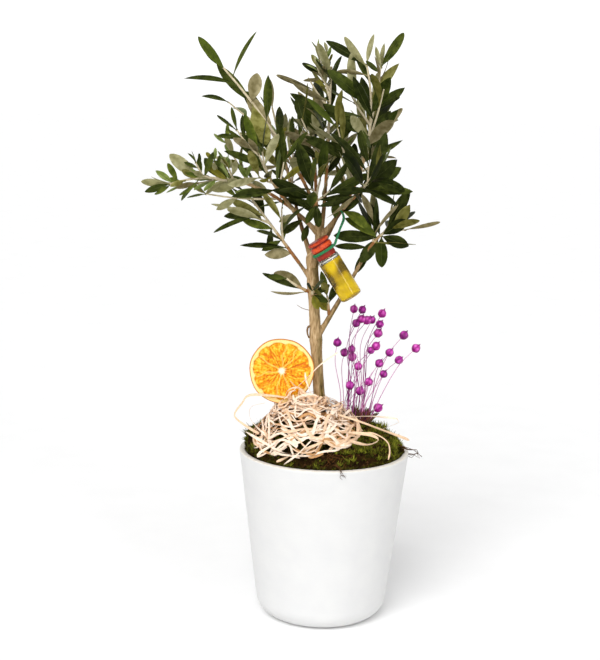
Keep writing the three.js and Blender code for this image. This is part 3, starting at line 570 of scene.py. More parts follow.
def add_piece(mesh, materials, nodes, crease=50):
    for entry in materials:
        mesh.materials.append(entry)
    mesh.polygons.foreach_set("use_smooth", [True] * len(mesh.polygons))
    mesh.set_sharp_from_angle(angle=math.radians(crease))
    mesh.update()
    piece = stand(mesh.name, mesh)
    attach(piece, "root")
    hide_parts(*nodes)


def wall_faces(rings, sides):
    """Quads between rings of corners that follow each other."""
    faces = []
    for low in range(0, (rings - 1) * sides, sides):
        for k in range(sides):
            after = (k + 1) % sides
            faces.append([low + k, low + sides + k, low + sides + after, low + after])
    return faces


def tube_faces(rings, sides):
    """Quads between rings of corners, and a cap at both ends."""
    last = rings * sides - 1
    return wall_faces(rings, sides) + [list(range(sides)), list(range(last, last - sides, -1))]


def sweep(line, across, section):
    """A closed tube. Each ring is a list of pairs, set out from the line along across and beside it."""
    line = np.asarray(line, float)
    ahead = np.gradient(line, axis=0)
    side = np.cross(across, ahead / np.linalg.norm(ahead, axis=1)[:, None])
    corners = line[:, None] + section[:, :, :1] * across[:, None] + section[:, :, 1:] * side[:, None]
    return corners.reshape(-1, 3), tube_faces(*section.shape[:2])


def tube(line, radii, sides):
    across = np.array([entry[2] for entry in frames_of(line)])
    turn = full_turn(sides)
    circle = np.stack((np.cos(turn), np.sin(turn)), axis=1)
    return sweep(line, across, np.asarray(radii)[:, None, None] * circle)


def tapered(line, ends, sides):
    return tube(line, np.linspace(*ends, len(line)), sides)


def lathe(profile, sides):
    """A profile of radius and height pairs turned about the vertical, closed at the axis or on itself."""
    corners = []
    rings = []
    for radius, height in profile:
        start = len(corners)
        if radius == 0:
            corners.append((0, 0, height))
            rings.append([start] * sides)
        else:
            corners.extend((*polar(turn, radius), height) for turn in full_turn(sides))
            rings.append(list(range(start, start + sides)))
    faces = []
    for low, high in zip(rings, rings[1:]):
        for k in range(sides):
            after = (k + 1) % sides
            face = [low[k], low[after], high[after], high[k]]
            faces.append(list(dict.fromkeys(face)))
    return np.array(corners, float), [face for face in faces if len(face) > 2]


def arc(middle, radius, start, end, steps):
    turns = np.radians(np.linspace(start, end, steps + 1))
    return [(middle[0] + radius * math.cos(t), middle[1] + radius * math.sin(t)) for t in turns]


# Materials
def tone(red, green, blue):
    """A colour given as it shows on a screen, from 0 to 255, in linear values."""
    shares = np.array((red, green, blue)) / 255
    linear = np.where(shares <= 0.04045, shares / 12.92, ((shares + 0.055) / 1.055) ** 2.4)
    return np.array((*linear, 1))


class Surface:
    """A procedural material: its shader, and noise in the object's own place."""

    def __init__(self, name, **sockets):
        self.material = bpy.data.materials.new(name)
        self.material.use_nodes = True
        self.nodes = self.material.node_tree.nodes
        self.links = self.material.node_tree.links
        self.shader = self.nodes["Principled BSDF"]
        for socket, value in sockets.items():
            self.feed(value, self.shader.inputs[socket.replace("_", " ")])
        self.place = self.node("TexCoord")

    def feed(self, value, socket):
        """Links an output to a socket, or sets the socket to a plain value."""
        if isinstance(value, bpy.types.NodeSocket):
            self.links.new(value, socket)
        else:
            socket.default_value = value

    def node(self, kind, **inputs):
        made = self.nodes.new("ShaderNode" + kind)
        for name, value in inputs.items():
            self.feed(value, made.inputs[name.replace("_", " ")])
        return made

    def noise(self, grain, stretch=(1, 1, 1), detail=4):
        mapping = self.node("Mapping", Vector=self.place.outputs["Object"], Scale=stretch)
        scale = 1 / (grain * MM)
        made = self.node("TexNoise", Vector=mapping.outputs["Vector"], Scale=scale, Detail=detail)
        return made.outputs["Fac"]

    def ramp(self, value, stops):
        made = self.node("ValToRGB", Fac=value)
        elements = made.color_ramp.elements
        while len(elements) < len(stops):
            elements.new(0.5)
        for element, (position, colour) in zip(elements, stops):
            element.position = position
            element.color = colour
        return made.outputs["Color"]

    def attribute(self, name, output="Fac"):
        made = self.node("Attribute")
        made.attribute_name = name
        return made.outputs[output]

    def blend(self, share, one, other, way="MIX"):
        made = self.node("Mix")
        made.data_type = "RGBA"
        made.blend_type = way
        for socket, value in (("Factor", share), (6, one), (7, other)):
            self.feed(value, made.inputs[socket])
        return made.outputs[2]

    def colour(self, value):
        self.feed(value, self.shader.inputs["Base Color"])

    def roughness(self, value, low, high):
        made = self.node("MapRange", Value=value, From_Min=0.3, From_Max=0.7, To_Min=low, To_Max=high)
        self.feed(made.outputs["Result"], self.shader.inputs["Roughness"])

    def bump(self, value, depth, strength=0.6):
        made = self.node("Bump", Height=value, Strength=strength, Distance=depth * MM)
        self.feed(made.outputs["Normal"], self.shader.inputs["Normal"])


def drifting(name, low, high, roughness, grain, depth, lit=None, **sockets):
    """A material that drifts between two colours, and goes to a third, if given, by the mesh's sheen
    attribute: painted light and highlights.
    """
    surface = Surface(name, **sockets)
    drift = surface.noise(grain)
    colour = surface.ramp(drift, [(0.32, low), (0.68, high)])
    if lit is not None:
        light = surface.ramp(drift, [(0.32, high), (0.6, lit)])
        colour = surface.blend(surface.attribute("sheen"), colour, light)
    surface.colour(colour)
    surface.roughness(drift, roughness - 0.07, roughness + 0.07)
    surface.bump(surface.noise(grain / 4), depth)
    return surface.material


def family(prefix, rows, grain, depth, **sockets):
    """Drifting materials of one kind: each row is a name, a roughness, and two or three colours, the third a
    painted-light tone.
    """
    made = []
    for name, roughness, *colours in rows:
        low, high, *lit = [tone(*colour) for colour in colours]
        made.append(drifting(prefix + name, low, high, roughness, grain, depth, *lit, **sockets))
    return made


# Camera, floor and light
def add_camera():
    data = bpy.data.cameras.new("camera")
    data.sensor_width = SENSOR
    data.lens = SENSOR * FOCAL_PIXELS / IMAGE_HEIGHT
    camera = stand("camera", data)
    tilt = Matrix.Rotation(math.radians(90 - CAMERA_PITCH), 4, "X")
    roll = Matrix.Rotation(math.radians(CAMERA_ROLL), 4, "Z")
    camera.matrix_world = Matrix.Translation(Vector(CAMERA_PLACE) * MM) @ tilt @ roll
    bpy.context.scene.camera = camera


def add_floor():
    half = FLOOR_HALF
    mesh = bpy.data.meshes.new("floor")
    corners = [(-half, -half, 0), (half, -half, 0), (half, half, 0), (-half, half, 0)]
    mesh.from_pydata(corners, [], [(0, 1, 2, 3)])
    low, high = [(shade, shade, shade, 1) for shade in FLOOR_SHADES]
    mesh.materials.append(drifting("floor_pale", low, high, 0.9, 60, 0.02, Specular_IOR_Level=0.0))
    floor = stand("floor", mesh)


def add_key():
    """A soft key light from in front and above."""
    data = bpy.data.lights.new("key", "SUN")
    data.energy = KEY_STRENGTH
    data.angle = math.radians(KEY_SOFTNESS)
    key = stand("key", data)
    key.rotation_euler = (-Vector(KEY_FROM)).to_track_quat("-Z", "Y").to_euler()


def add_sky():
    """A pale sky that is brightest at the horizon, and the picture's exposure."""
    world = bpy.data.worlds.new("studio")
    world.use_nodes = True
    nodes, links = world.node_tree.nodes, world.node_tree.links
    place = nodes.new("ShaderNodeTexCoord")
    split = nodes.new("ShaderNodeSeparateXYZ")
    ramp = nodes.new("ShaderNodeValToRGB")
    links.new(place.outputs["Generated"], split.inputs["Vector"])
    links.new(split.outputs["Z"], ramp.inputs["Fac"])
    links.new(ramp.outputs["Color"], nodes["Background"].inputs["Color"])
    low, high = ramp.color_ramp.elements
    low.position, high.position = SKY_BAND
    low.color = (1, 1, 1, 1)
    high.color = (SKY_DOME, SKY_DOME, SKY_DOME, 1)
    bpy.context.scene.world = world
    bpy.context.scene.view_settings.view_transform = "Standard"
    bpy.context.scene.view_settings.exposure = EXPOSURE


def add_strip():
    """A narrow upright light at the right that gives glass and leaves a bright edge."""
    data = bpy.data.lights.new("strip", "AREA")
    data.shape = "RECTANGLE"
    data.size, data.size_y = STRIP_SIZE
    data.energy = STRIP_POWER
    strip = stand("strip", data)
    strip.location = STRIP_PLACE
    strip.rotation_euler = (Vector(STRIP_AIM) - strip.location).to_track_quat("-Z", "Y").to_euler()


# Pot
def pot_line(inset, top, steps):
    slope = (POT_RIM_RADIUS - POT_FOOT_RADIUS) / POT_HEIGHT
    tilt = math.atan(slope)
    middle = POT_FOOT_RADIUS - POT_ROUNDING * math.tan((math.pi / 2 - tilt) / 2)
    line = [(0, inset)]
    line += arc((middle, POT_ROUNDING), POT_ROUNDING - inset, -90, -math.degrees(tilt), 10)
    low = line[-1]
    high = (POT_FOOT_RADIUS + slope * top - inset / math.cos(tilt), top)
    line += [(mix(low[0], high[0], k / steps), mix(low[1], high[1], k / steps)) for k in range(1, steps + 1)]
    return line


def ceramic_material():
    white = Surface("pot_white", Specular_IOR_Level=0.45)
    white.colour(white.ramp(white.noise(18), [(0.3, tone(208, 208, 208)), (0.7, tone(212, 212, 211))]))
    white.roughness(white.noise(3, (1, 1, 6)), 0.42, 0.55)
    white.bump(white.noise(2.2, (0.5, 0.5, 5)), 0.12, 0.5)
    return white.material


def add_pot():
    top = POT_HEIGHT - POT_LIP_ROUNDING
    outside = pot_line(0, top, POT_ROWS)
    inside = pot_line(POT_WALL, top, POT_INNER_ROWS)[::-1]
    outer_lip = arc((outside[-1][0] - POT_LIP_ROUNDING, top), POT_LIP_ROUNDING, 20, 90, 4)
    inner_lip = arc((inside[0][0] + POT_LIP_ROUNDING, top), POT_LIP_ROUNDING, 90, 160, 4)
    corners, faces = lathe([*outside, *outer_lip, *inner_lip, *inside], POT_SIDES)
    turn = np.arctan2(corners[:, 1], corners[:, 0])
    for k, (x, y, z) in enumerate(corners):
        spread = math.hypot(x, y)
        if spread > 1 and 1 < z < top:
            ripple = noise.noise((2 * math.cos(turn[k]), 2 * math.sin(turn[k]), z / 1.6))
            broad = noise.noise((math.cos(turn[k]), math.sin(turn[k]), z / 30 + 7))
            corners[k, :2] *= 1 + POT_RELIEF * (ripple + 2 * broad) / spread
    lip_low = len(outside) - 1
    lip_high = len(outside) + len(outer_lip) + len(inner_lip)
    kinds = [1 if lip_low * POT_SIDES <= min(face) < lip_high * POT_SIDES else 0 for face in faces]
    lip = drifting("pot_lip", tone(212, 205, 194), tone(224, 220, 213), 0.6, 5, 0.1)
    mesh = mesh_of("pot_body", (corners, faces), kinds)
    add_piece(mesh, [ceramic_material(), lip], ["pot"], 60)


# Soil and moss
def moss_top(x, y):
    spread = np.minimum(np.hypot(x, y) / MOSS_RADIUS, 1)
    front = smooth_step(-y / MOSS_RADIUS, -0.1, 0.95)
    edge = mix(MOSS_BACK_EDGE, MOSS_FRONT_EDGE, front)
    lumps = MOSS_LUMP * (np.sin(x / 7 + 1) * np.cos(y / 9) + np.sin(x / 15 - y / 11))
    right = smooth_step(x + 0.5 * y, -70, 40)
    shoulder = MOSS_SHOULDER * smooth_step(spread, 0.76, 1.02) * right * (1 - front)
    return edge + (MOSS_MIDDLE - edge) * (1 - spread ** 2) + lumps - 3 * spread ** 10 - shoulder


def moss_cover(x, y):
    """How thick the moss grows, from bare soil at 0 to a full cushion at 1."""
    patch = noise.noise((x / 15, y / 15, 3)) + 0.5 * noise.noise((x / 6, y / 6, 9))
    bare = smooth_step(-y / MOSS_RADIUS, 0.35, 0.9)
    return float(np.clip(0.85 + 0.8 * patch - 0.4 * bare, 0, 1))


def add_soil():
    line = pot_line(POT_WALL + GAP, SOIL_TOP, 4)
    rings = [(line[-1][0] * k / SOIL_RINGS, SOIL_TOP) for k in range(SOIL_RINGS - 1, -1, -1)]
    corners, faces = lathe([*line, *rings], SOIL_SIDES)
    for k, (x, y, z) in enumerate(corners):
        if z > SOIL_TOP - 1 and math.hypot(x, y) < line[-1][0] - 1:
            corners[k, 2] += SOIL_GRIT * noise.noise((x / 4, y / 4, 1))
    earth = drifting("soil_earth", tone(26, 15, 7), tone(52, 34, 18), 0.9, 3, 0.8, Specular_IOR_Level=0.05)
    add_piece(mesh_of("soil_bed", (corners, faces)), [earth], ["soil"])


def moss_cushion():
    low = SOIL_TOP + GAP
    rings = [(MOSS_EDGE * k / MOSS_RINGS, MOSS_MIDDLE) for k in range(MOSS_RINGS, -1, -1)]
    corners, faces = lathe([(0, low), (MOSS_RADIUS, low), *rings], MOSS_SIDES)
    for k, (x, y, z) in enumerate(corners):
        if z > low:
            crumb = noise.noise((x / 2.2, y / 2.2, 5)) + 0.6 * noise.noise((x / 1.1, y / 1.1, 2))
            corners[k, 2] = moss_top(x, y) + 1.1 * crumb - 0.6
    return corners, faces


def moss_tuft(foot, height, blades, half, splay, rng, tip_out=(0, 0)):
    """A small star of pointed blades, each a slim three-sided spike."""
    corners, faces = [], []
    lean = rng.normal(0, 0.25, 2) + tip_out
    for k in range(blades):
        around = math.tau * (k + rng.uniform(0, 0.6)) / blades
        out = rng.uniform(0.15, splay)
        way = unit(np.array((math.cos(around) * out + lean[0], math.sin(around) * out + lean[1], 1.0)))
        flat = np.array((-math.sin(around), math.cos(around), 0)) * half * rng.uniform(0.8, 1.3)
        back = np.cross(way, flat) * 0.4
        base = foot + way * height * rng.uniform(0, 0.4)
        first = len(corners)
        corners += [base - flat, base + flat, base + back, base + way * height * rng.uniform(0.55, 1)]
        faces += [[first + i for i in face] for face in ((0, 2, 1), (0, 1, 3), (1, 2, 3), (2, 0, 3))]
    return np.array(corners), faces


def add_cushion():
    ground = Surface("moss_ground", Specular_IOR_Level=0.05)
    patches = ground.noise(7)
    stops = [(0.3, tone(20, 11, 3)), (0.5, tone(42, 26, 8)), (0.7, tone(60, 50, 14))]
    ground.colour(ground.ramp(patches, stops))
    ground.roughness(patches, 0.85, 0.98)
    ground.bump(ground.noise(1.2), 0.9, 0.8)
    add_piece(mesh_of("moss_cushion", moss_cushion()), [ground.material], ["moss"], 80)


def add_tufts():
    """Moss tufts and stars over the cushion, a fringe along the rim and a few tall plumes."""
    rng = np.random.default_rng(SEEDS["moss"])
    tufts = Heap()
    for k in range(MOSS_TUFTS + MOSS_STARS):
        star = k >= MOSS_TUFTS
        cover = 0
        while rng.uniform() > cover:
            x, y = polar(rng.uniform(0, math.tau), MOSS_EDGE * math.sqrt(rng.uniform(0, 1)))
            cover = moss_cover(x, y) ** (2 if star else 1)
        foot = np.array((x, y, moss_top(x, y) - 1.0))
        if star:
            kind = 2 + int(rng.choice(2, p=(0.4, 0.6)))
            tufts.add(moss_tuft(foot, rng.uniform(4.5, 7.5), *STAR, rng), kind)
        else:
            # Tufts towards the right and the front are drawn brighter: painted light
            painted_light = smooth_step(x - y, -70, 80) * 0.3
            kind = int(np.digitize(cover * 0.4 + painted_light + rng.uniform(0, 0.7), MOSS_SHADES))
            tufts.add(moss_tuft(foot, rng.uniform(2.2, 4.6) * (0.6 + 0.5 * cover), *TUFT, rng), kind)
    for k in range(MOSS_RIM_TUFTS):
        out = np.array(polar(rng.uniform(0, math.tau), 1))
        low, high = POT_HEIGHT - 1, moss_top(*(out * MOSS_RADIUS))
        foot = np.array((*(out * (MOSS_EDGE - 0.6)), mix(low, max(high, low), rng.uniform(0, 1))))
        tuft = moss_tuft(foot, rng.uniform(2, 4), *TUFT, rng, out)
        tufts.add(tuft, int(rng.choice(3, p=(0.3, 0.45, 0.25))))
    for x, y, height in MOSS_PLUMES:
        foot = np.array((x, y, moss_top(x, y) - 1))
        tuft = moss_tuft(foot, height, *PLUME, rng, np.array((x, y)) / 200)
        tufts.add(tuft, 2 + int(rng.choice(2)))
    greens = family("moss_", [
        ("brown", 0.9, (40, 26, 9), (66, 46, 16)),
        ("dark", 0.85, (40, 40, 9), (66, 64, 16)),
        ("olive", 0.8, (72, 74, 16), (100, 102, 28)),
        ("bright", 0.8, (108, 114, 28), (146, 148, 48)),
    ], 6, 0.2, Specular_IOR_Level=0.1)
    add_piece(tufts.mesh("moss_tufts"), greens, ["moss"])


def crumb_shape(middle, size, rng):
    ways = np.array(((1, 0, 0), (0, 1, 0), (-1, 0, 0), (0, -1, 0), (0, 0, 1), (0, 0, -1)), float)
    corners = middle + ways * size * rng.uniform(0.6, 1.3, (6, 1))
    faces = [[k, (k + 1) % 4, 4] for k in range(4)] + [[(k + 1) % 4, k, 5] for k in range(4)]
    return corners, faces


def add_litter():
    """Crumbs of earth and dry fibres on the bare front, and a few rootlets that hang over the rim."""
    rng = np.random.default_rng(SEEDS["litter"])
    litter = Heap()
    for k in range(LITTER_CRUMBS):
        x, y = polar(rng.uniform(math.pi, math.tau), MOSS_EDGE * math.sqrt(rng.uniform(0.1, 1)))
        litter.add(crumb_shape((x, y, moss_top(x, y)), rng.uniform(0.5, 1.5), rng), int(rng.choice(2)))
    for k in range(LITTER_FIBRES):
        turn, spread = rng.uniform(math.pi, math.tau), FIBRE_REACH * math.sqrt(rng.uniform(0.2, 1))
        points = []
        for step in range(4):
            x, y = polar(turn, spread)
            points.append((x, y, moss_top(x, y) + rng.uniform(0.2, 1.8)))
            turn += rng.normal(0, 0.06)
            spread = min(spread + rng.normal(0, 3), MOSS_EDGE - 1)
        line = smooth_line(points, 2.5)
        litter.add(tube(line, np.full(len(line), FIBRE_RADIUS), FIBRE_SIDES), 1 + int(rng.choice(2)))
    for route in ROOTLETS:
        for k in range(ROOTLET_STRANDS):
            points = np.array(route) + rng.normal(0, 1.1, (len(route), 3))
            line = smooth_line(points, 1.5)
            litter.add(tapered(line, ROOTLET_RADII, FIBRE_SIDES), 1)
    earth = [("earth", 0.95, (22, 12, 4), (44, 28, 12))]
    fibres = [("brown", 0.9, (58, 36, 16), (92, 62, 32)), ("rust", 0.9, (74, 42, 16), (100, 64, 30))]
    browns = family("litter_", earth, 2, 0.3, Specular_IOR_Level=0.05)
    browns += family("litter_", fibres, 2, 0.2, Specular_IOR_Level=0.1)
    add_piece(litter.mesh("moss_litter"), browns, ["moss"])


# Trunk and boughs: lines and radii by the source's rule
lines = {}
radii = {}


def grow_limbs():
    lines["trunk"] = grow_line(TRUNK_FOOT, *TRUNK_AIM, TRUNK_BEND, 14)
    crook_start = frame_at(frames_of(lines["trunk"]), CROOK_START)[0]
    lines["crook"] = grow_line(crook_start, *CROOK_AIM, CROOK_BEND, 5)

    def trunk_radius(part):
        flare = ROOT_FLARE * math.exp(-part * TRUNK_BEND[0] / ROOT_FLARE_HEIGHT)
        return mix(TRUNK_RADIUS_LOW, TRUNK_RADIUS_HIGH, part) + flare

    radii["trunk"] = trunk_radius
    radii["crook"] = lambda part: CROOK_RADIUS
    for limb in LIMBS:
        start = frame_at(frames_of(lines[limb["on"]]), limb["at"])[0]
        steps = round(limb["bough"][0] / BOUGH_STEP)
        lines[limb["name"]] = grow_line(start, limb["heading"], limb["rise"], limb["bough"], steps)
        radii[limb["name"]] = lambda part, thick=limb["thick"]: mix(thick, BOUGH_TIP_RADIUS, part)


def limb_shapes():
    """Tubes for trunk, crook and boughs, each bough with a swollen collar at its foot."""
    shapes = []
    for name, line in lines.items():
        fine = smooth_line(line, 2)
        parts = np.linspace(0, 1, len(fine))
        along = parts * np.linalg.norm(np.diff(line, axis=0), axis=1).sum()
        widths = np.array([radii[name](part) for part in parts])
        if name == "trunk":
            for limb in LIMBS:
                if limb["on"] == "trunk":
                    away = (along - limb["at"] * along[-1]) / TRUNK_SWELL_REACH
                    widths += TRUNK_SWELL * np.exp(-(away ** 2))
        elif name != "crook":
            widths *= 1 + COLLAR_SWELL * np.exp(-along / COLLAR_REACH)
        shapes.append((name, fine, widths))
    return shapes


def stub_cut():
    """A place on the slanted pruning cut, and the way that it faces."""
    slant = math.radians(STUB_SLANT)
    return lines["trunk"][-1] - (0, 0, TRUNK_RADIUS_HIGH), np.array((-math.sin(slant), 0, math.cos(slant)))


def cut_stub(corners):
    """Presses the trunk's top down on to the slanted pruning cut."""
    tip, normal = stub_cut()
    ahead = unit(lines["trunk"][-1] - lines["trunk"][-2])
    over = np.maximum((corners - tip) @ normal, 0) / ahead.dot(normal)
    return corners - over[:, None] * ahead


def skin_mesh(shapes):
    """One closed skin over all the limbs, remade on a fine grid and smoothed."""
    heap = Heap()
    for name, line, widths in shapes:
        corners, faces = tube(line, widths, LIMB_SIDES)
        heap.add((cut_stub(corners) if name == "trunk" else corners, faces))
    rough = stand("limbs", heap.mesh("limbs"))
    remesh = rough.modifiers.new("skin", "REMESH")
    remesh.mode = "VOXEL"
    remesh.voxel_size = SKIN_VOXEL * MM
    smooth = rough.modifiers.new("smooth", "SMOOTH")
    smooth.factor = 0.5
    smooth.iterations = SKIN_SMOOTHING
    evaluated = rough.evaluated_get(bpy.context.evaluated_depsgraph_get())
    made = bpy.data.meshes.new_from_object(evaluated)
    bpy.data.objects.remove(rough)
    made.name = "bark_skin"
    return made


def bark_relief(mesh, shapes):
    """Raises streaks along each limb, and marks how old the wood is at each corner, and how far its
    right-hand side is painted darker and mossier: painted shade, with a mossy tint.
    """
    samples = []
    for name, line, widths in shapes:
        age = OLD_WOOD.get(name, 1)
        for entry, width, walked in zip(frames_of(line), widths, walked_along(line)):
            samples.append((*entry, width, walked, age))
    tree = tree_of([sample[0] for sample in samples])
    count = len(mesh.vertices)
    corners = np.empty(count * 3, np.float32)
    normals = np.empty(count * 3, np.float32)
    mesh.vertices.foreach_get("co", corners)
    mesh.vertices.foreach_get("normal", normals)
    corners = corners.reshape(-1, 3).astype(float) / MM
    normals = normals.reshape(-1, 3)
    lift = np.empty(count)
    ages = np.empty(count, np.float32)
    moss_and_shade = np.empty(count, np.float32)
    for k, corner in enumerate(corners):
        point, ahead, across, side, width, walked, age = samples[tree.find(corner)[1]]
        offset = corner - point
        a, b = offset.dot(across), offset.dot(side)
        s = walked + offset.dot(ahead)
        streak = noise.noise((a / 1.5, b / 1.5, s / 14)) + 0.6 * noise.noise((a / 0.8, b / 0.8, s / 5))
        knot = noise.noise((a / 5, b / 5, s / 12 + 4 * age))
        lift[k] = (0.05 + 0.022 * width) * streak + 0.05 * width * knot
        ages[k] = age * smooth_step(walked, 4, 30)
        # Painted shade with a mossy tint, strongest on the right-hand side of each limb
        shaded = smooth_step(normals[k].dot(SHADED_SIDE), -0.1, 0.75)
        moss_and_shade[k] = shaded * (0.6 + 0.7 * noise.noise((a / 4, b / 4, s / 16)))
    tip, facing = stub_cut()
    on_cut = np.abs((corners - tip) @ facing) < 0.8
    on_cut &= (normals @ facing > 0.75) & (np.linalg.norm(corners - tip, axis=1) < CUT_REACH)
    corners += normals * lift[:, None]
    mesh.vertices.foreach_set("co", (corners * MM).astype(np.float32).ravel())
    for name, values in (("age", ages), ("moss_and_shade", moss_and_shade), ("cut", on_cut.astype(np.float32))):
        mesh.attributes.new(name, "FLOAT", "POINT").data.foreach_set("value", values)


def bark_material():
    bark = Surface("bark", Specular_IOR_Level=0.2)
    streaks = bark.noise(1.4, (1, 1, 0.22), 6)
    trunk_stops = [(0.3, tone(122, 96, 60)), (0.45, tone(160, 132, 92)), (0.6, tone(182, 153, 114)),
                   (0.75, tone(204, 180, 146))]
    # Dark olive for the right-hand side of the limbs: painted shade, with a mossy tint
    moss_and_shade_stops = [(0.3, tone(56, 46, 10)), (0.5, tone(86, 72, 22)), (0.7, tone(118, 100, 44))]
    # Boughs are darker brown than the trunk: partly their own younger bark, partly painted shade
    bough_stops = [(0.3, tone(68, 46, 22)), (0.5, tone(106, 78, 44)), (0.7, tone(146, 114, 76))]
    dry, moss_and_shade = bark.ramp(streaks, trunk_stops), bark.ramp(streaks, moss_and_shade_stops)
    young = bark.ramp(bark.noise(3, (1, 1, 0.4)), bough_stops)
    wood = bark.ramp(bark.noise(1.2), [(0.3, tone(176, 146, 102)), (0.7, tone(214, 188, 146))])
    old = bark.blend(bark.attribute("moss_and_shade"), dry, moss_and_shade)
    grown = bark.blend(bark.attribute("age"), old, young)
    bark.colour(bark.blend(bark.attribute("cut"), grown, wood))
    bark.roughness(streaks, 0.65, 0.85)
    bark.bump(bark.noise(0.9, (1, 1, 0.15)), 0.25, 0.7)
    return bark.material


def add_bark():
    shapes = limb_shapes()
    mesh = skin_mesh(shapes)
    bark_relief(mesh, shapes)
    nodes = ["trunk"] + ["bough_" + limb["name"] for limb in LIMBS]
    bark = bark_material()
    add_piece(mesh, [bark], nodes, 80)
    threads = Heap()
    for places, *ends in BARK_THREADS:
        threads.add(tapered(smooth_line(places, 1), ends, THREAD_SIDES))
    dry = drifting("bark_thread", tone(92, 66, 40), tone(138, 108, 74), 0.8, 2, 0.2, Specular_IOR_Level=0.2)
    add_piece(threads.mesh("bark_threads"), [dry], ["trunk"], 60)


# Leafy shoots by the source's rule: a twig or leaf stands where the mass's solid has its corner
def corner_tree(node):
    return tree_of([vertex.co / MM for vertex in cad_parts[node].data.vertices])


def stem_of(row):
    limb = lines.get(row["name"])
    steps = max(2, int(row["stem"][0] / STEM_STEP + 0.5))
    heading = row["heading"] + (row["bough"][2] if limb is not None else 0)
    rise = row["rise"] + (row["bough"][1] if limb is not None else 0)
    way = aim(heading, rise)
    if limb is not None:
        tilt = math.radians(abs(row["stem"][1]) / steps / 2)
        start = limb[-1] + way * (GAP + BOUGH_TIP_RADIUS * math.sin(tilt))
    else:
        point, ahead, _, _ = frame_at(frames_of(lines[row["on"]]), row["at"])
        angle = math.acos(ahead.dot(way))
        clearance = radii[row["on"]](row["at"]) + GAP + TWIG_RADIUS * abs(math.cos(angle))
        start = point + way * clearance / math.sin(angle)
    line = grow_line(start, heading, rise, row["stem"], steps)
    return dict(line=line, length=row["stem"][0], roll=row["roll"], main=True)


def side_twig(stem, row, k, random):
    part = mix(TWIG_FIRST, TWIG_LAST, (k + 0.6 * random()) / row["twigs"])
    point, ahead, across, side = frame_at(frames_of(stem["line"]), part)
    turn = math.radians(row["roll"] + TWIG_TURN * k + 30 * (random() - 0.5))
    splay = math.radians(TWIG_SPLAY + 20 * (random() - 0.5))
    length = stem["length"] * TWIG_REACH * (1.1 - 0.6 * part) * (0.8 + 0.4 * random())
    way = turned(across, side, turn) * math.sin(splay) + ahead * math.cos(splay)
    heading = math.degrees(math.atan2(way[1], way[0]))
    rise = math.degrees(math.asin(way[2]))
    steps = max(2, int(length / TWIG_STEP + 0.5))
    line = grow_line(point, heading, rise, (length, TWIG_LIFT, 0), steps)
    return dict(line=line, length=length, roll=row["roll"] + 45 * k, main=False)


def twig_stands(twig, tree):
    point, _, across, side = frames_of(twig["line"])[-1]
    for turn in np.radians((0, 120, 240)):
        corner = point + TWIG_TIP_RADIUS * turned(side, across, turn)
        if tree.find(corner)[2] < CORNER_NEAR:
            return True
    return False


def place_leaf(place, turn, splay, length, width, twist, arch):
    point, forward, across, side = place
    turn, splay, twist = np.radians((turn, splay, twist))
    ahead = turned(forward, turned(across, side, turn), splay)
    face = forward + (0, 0, 0.5)
    face = unit(face - ahead * face.dot(ahead))
    face = turned(face, np.cross(ahead, face), twist)
    return dict(root=point, ahead=ahead, face=face, wide=np.cross(face, ahead), length=length, width=width,
                arch=arch)


def leaves_along(twig, row, tree, random):
    frames = frames_of(twig["line"])
    pairs = max(1, int((twig["length"] - BARE_FOOT) / (PAIR_SPACING * row["space"]) + 0.5))
    leaves = []
    for k in range(pairs + 1):
        part = mix(BARE_FOOT / twig["length"], 0.985, k / pairs)
        roll = twig["roll"] + 90 * k + 24 * (random() - 0.5)
        for half in (0, 180):
            splay = mix(LEAF_SPLAY_FOOT, LEAF_SPLAY_TIP, part) + 16 * (random() - 0.5)
            age = 0.62 + 0.38 * math.sin(math.pi * (0.22 + 0.62 * part))
            length = LEAF_LENGTH * row["leaf"] * age * (0.85 + 0.3 * random())
            width = length * LEAF_SLIM * (0.85 + 0.35 * random())
            twist = 50 * (random() - 0.5)
            arch = 0.14 * (random() - 0.4)
            for turn in LEAF_TURNS:
                place = frame_at(frames, part)
                leaf = place_leaf(place, roll + half + turn, splay, length, width, twist, arch)
                if tree.find(leaf["root"] + leaf["ahead"] * length)[2] < CORNER_NEAR:
                    leaves.append(leaf)
                    break
    return leaves


def in_photo(point):
    """The column and row where the camera sees a place."""
    pitch, roll = math.radians(CAMERA_PITCH), math.radians(CAMERA_ROLL)
    x, y, z = np.asarray(point) - CAMERA_PLACE
    depth = y * math.cos(pitch) - z * math.sin(pitch)
    across = FOCAL_PIXELS * x / depth
    down = -FOCAL_PIXELS * (y * math.sin(pitch) + z * math.cos(pitch)) / depth
    column = IMAGE_WIDTH / 2 + across * math.cos(roll) - down * math.sin(roll)
    row = IMAGE_HEIGHT / 2 + across * math.sin(roll) + down * math.cos(roll)
    return column, row


def leaf_middle(leaf):
    return leaf["root"] + leaf["ahead"] * LEAF_MIDDLE * leaf["length"]


def shows_sky(leaf):
    column, row = in_photo(leaf_middle(leaf))
    return any(math.hypot(column - x, row - y) < radius for x, y, radius in SKY_GAPS)


def turn_to_light(leaf, flip, rng):
    """Turns a leaf's upper side out and up to the light, or its underside where it is flipped."""
    middle = leaf_middle(leaf)
    outward = unit((middle - TRUNK_FOOT) * (1, 1, 0))
    front = -1 if middle[1] < CROWN_DEPTH + rng.normal(0, 10) else 1
    light = 0.35 * outward + (0, 0.85 * front, 0.45)
    side = -1 if rng.uniform() < flip else 1
    face_leaf(leaf, mix(leaf["face"], light * side, rng.uniform(0.15, 0.85)))
    if abs(leaf["face"][1]) < EDGE_ON:
        face_leaf(leaf, leaf["face"] + (0, 2 * EDGE_ON * front, 0))


def face_leaf(leaf, face):
    leaf["face"] = unit(face - leaf["ahead"] * leaf["ahead"].dot(face))
    leaf["wide"] = np.cross(leaf["face"], leaf["ahead"])


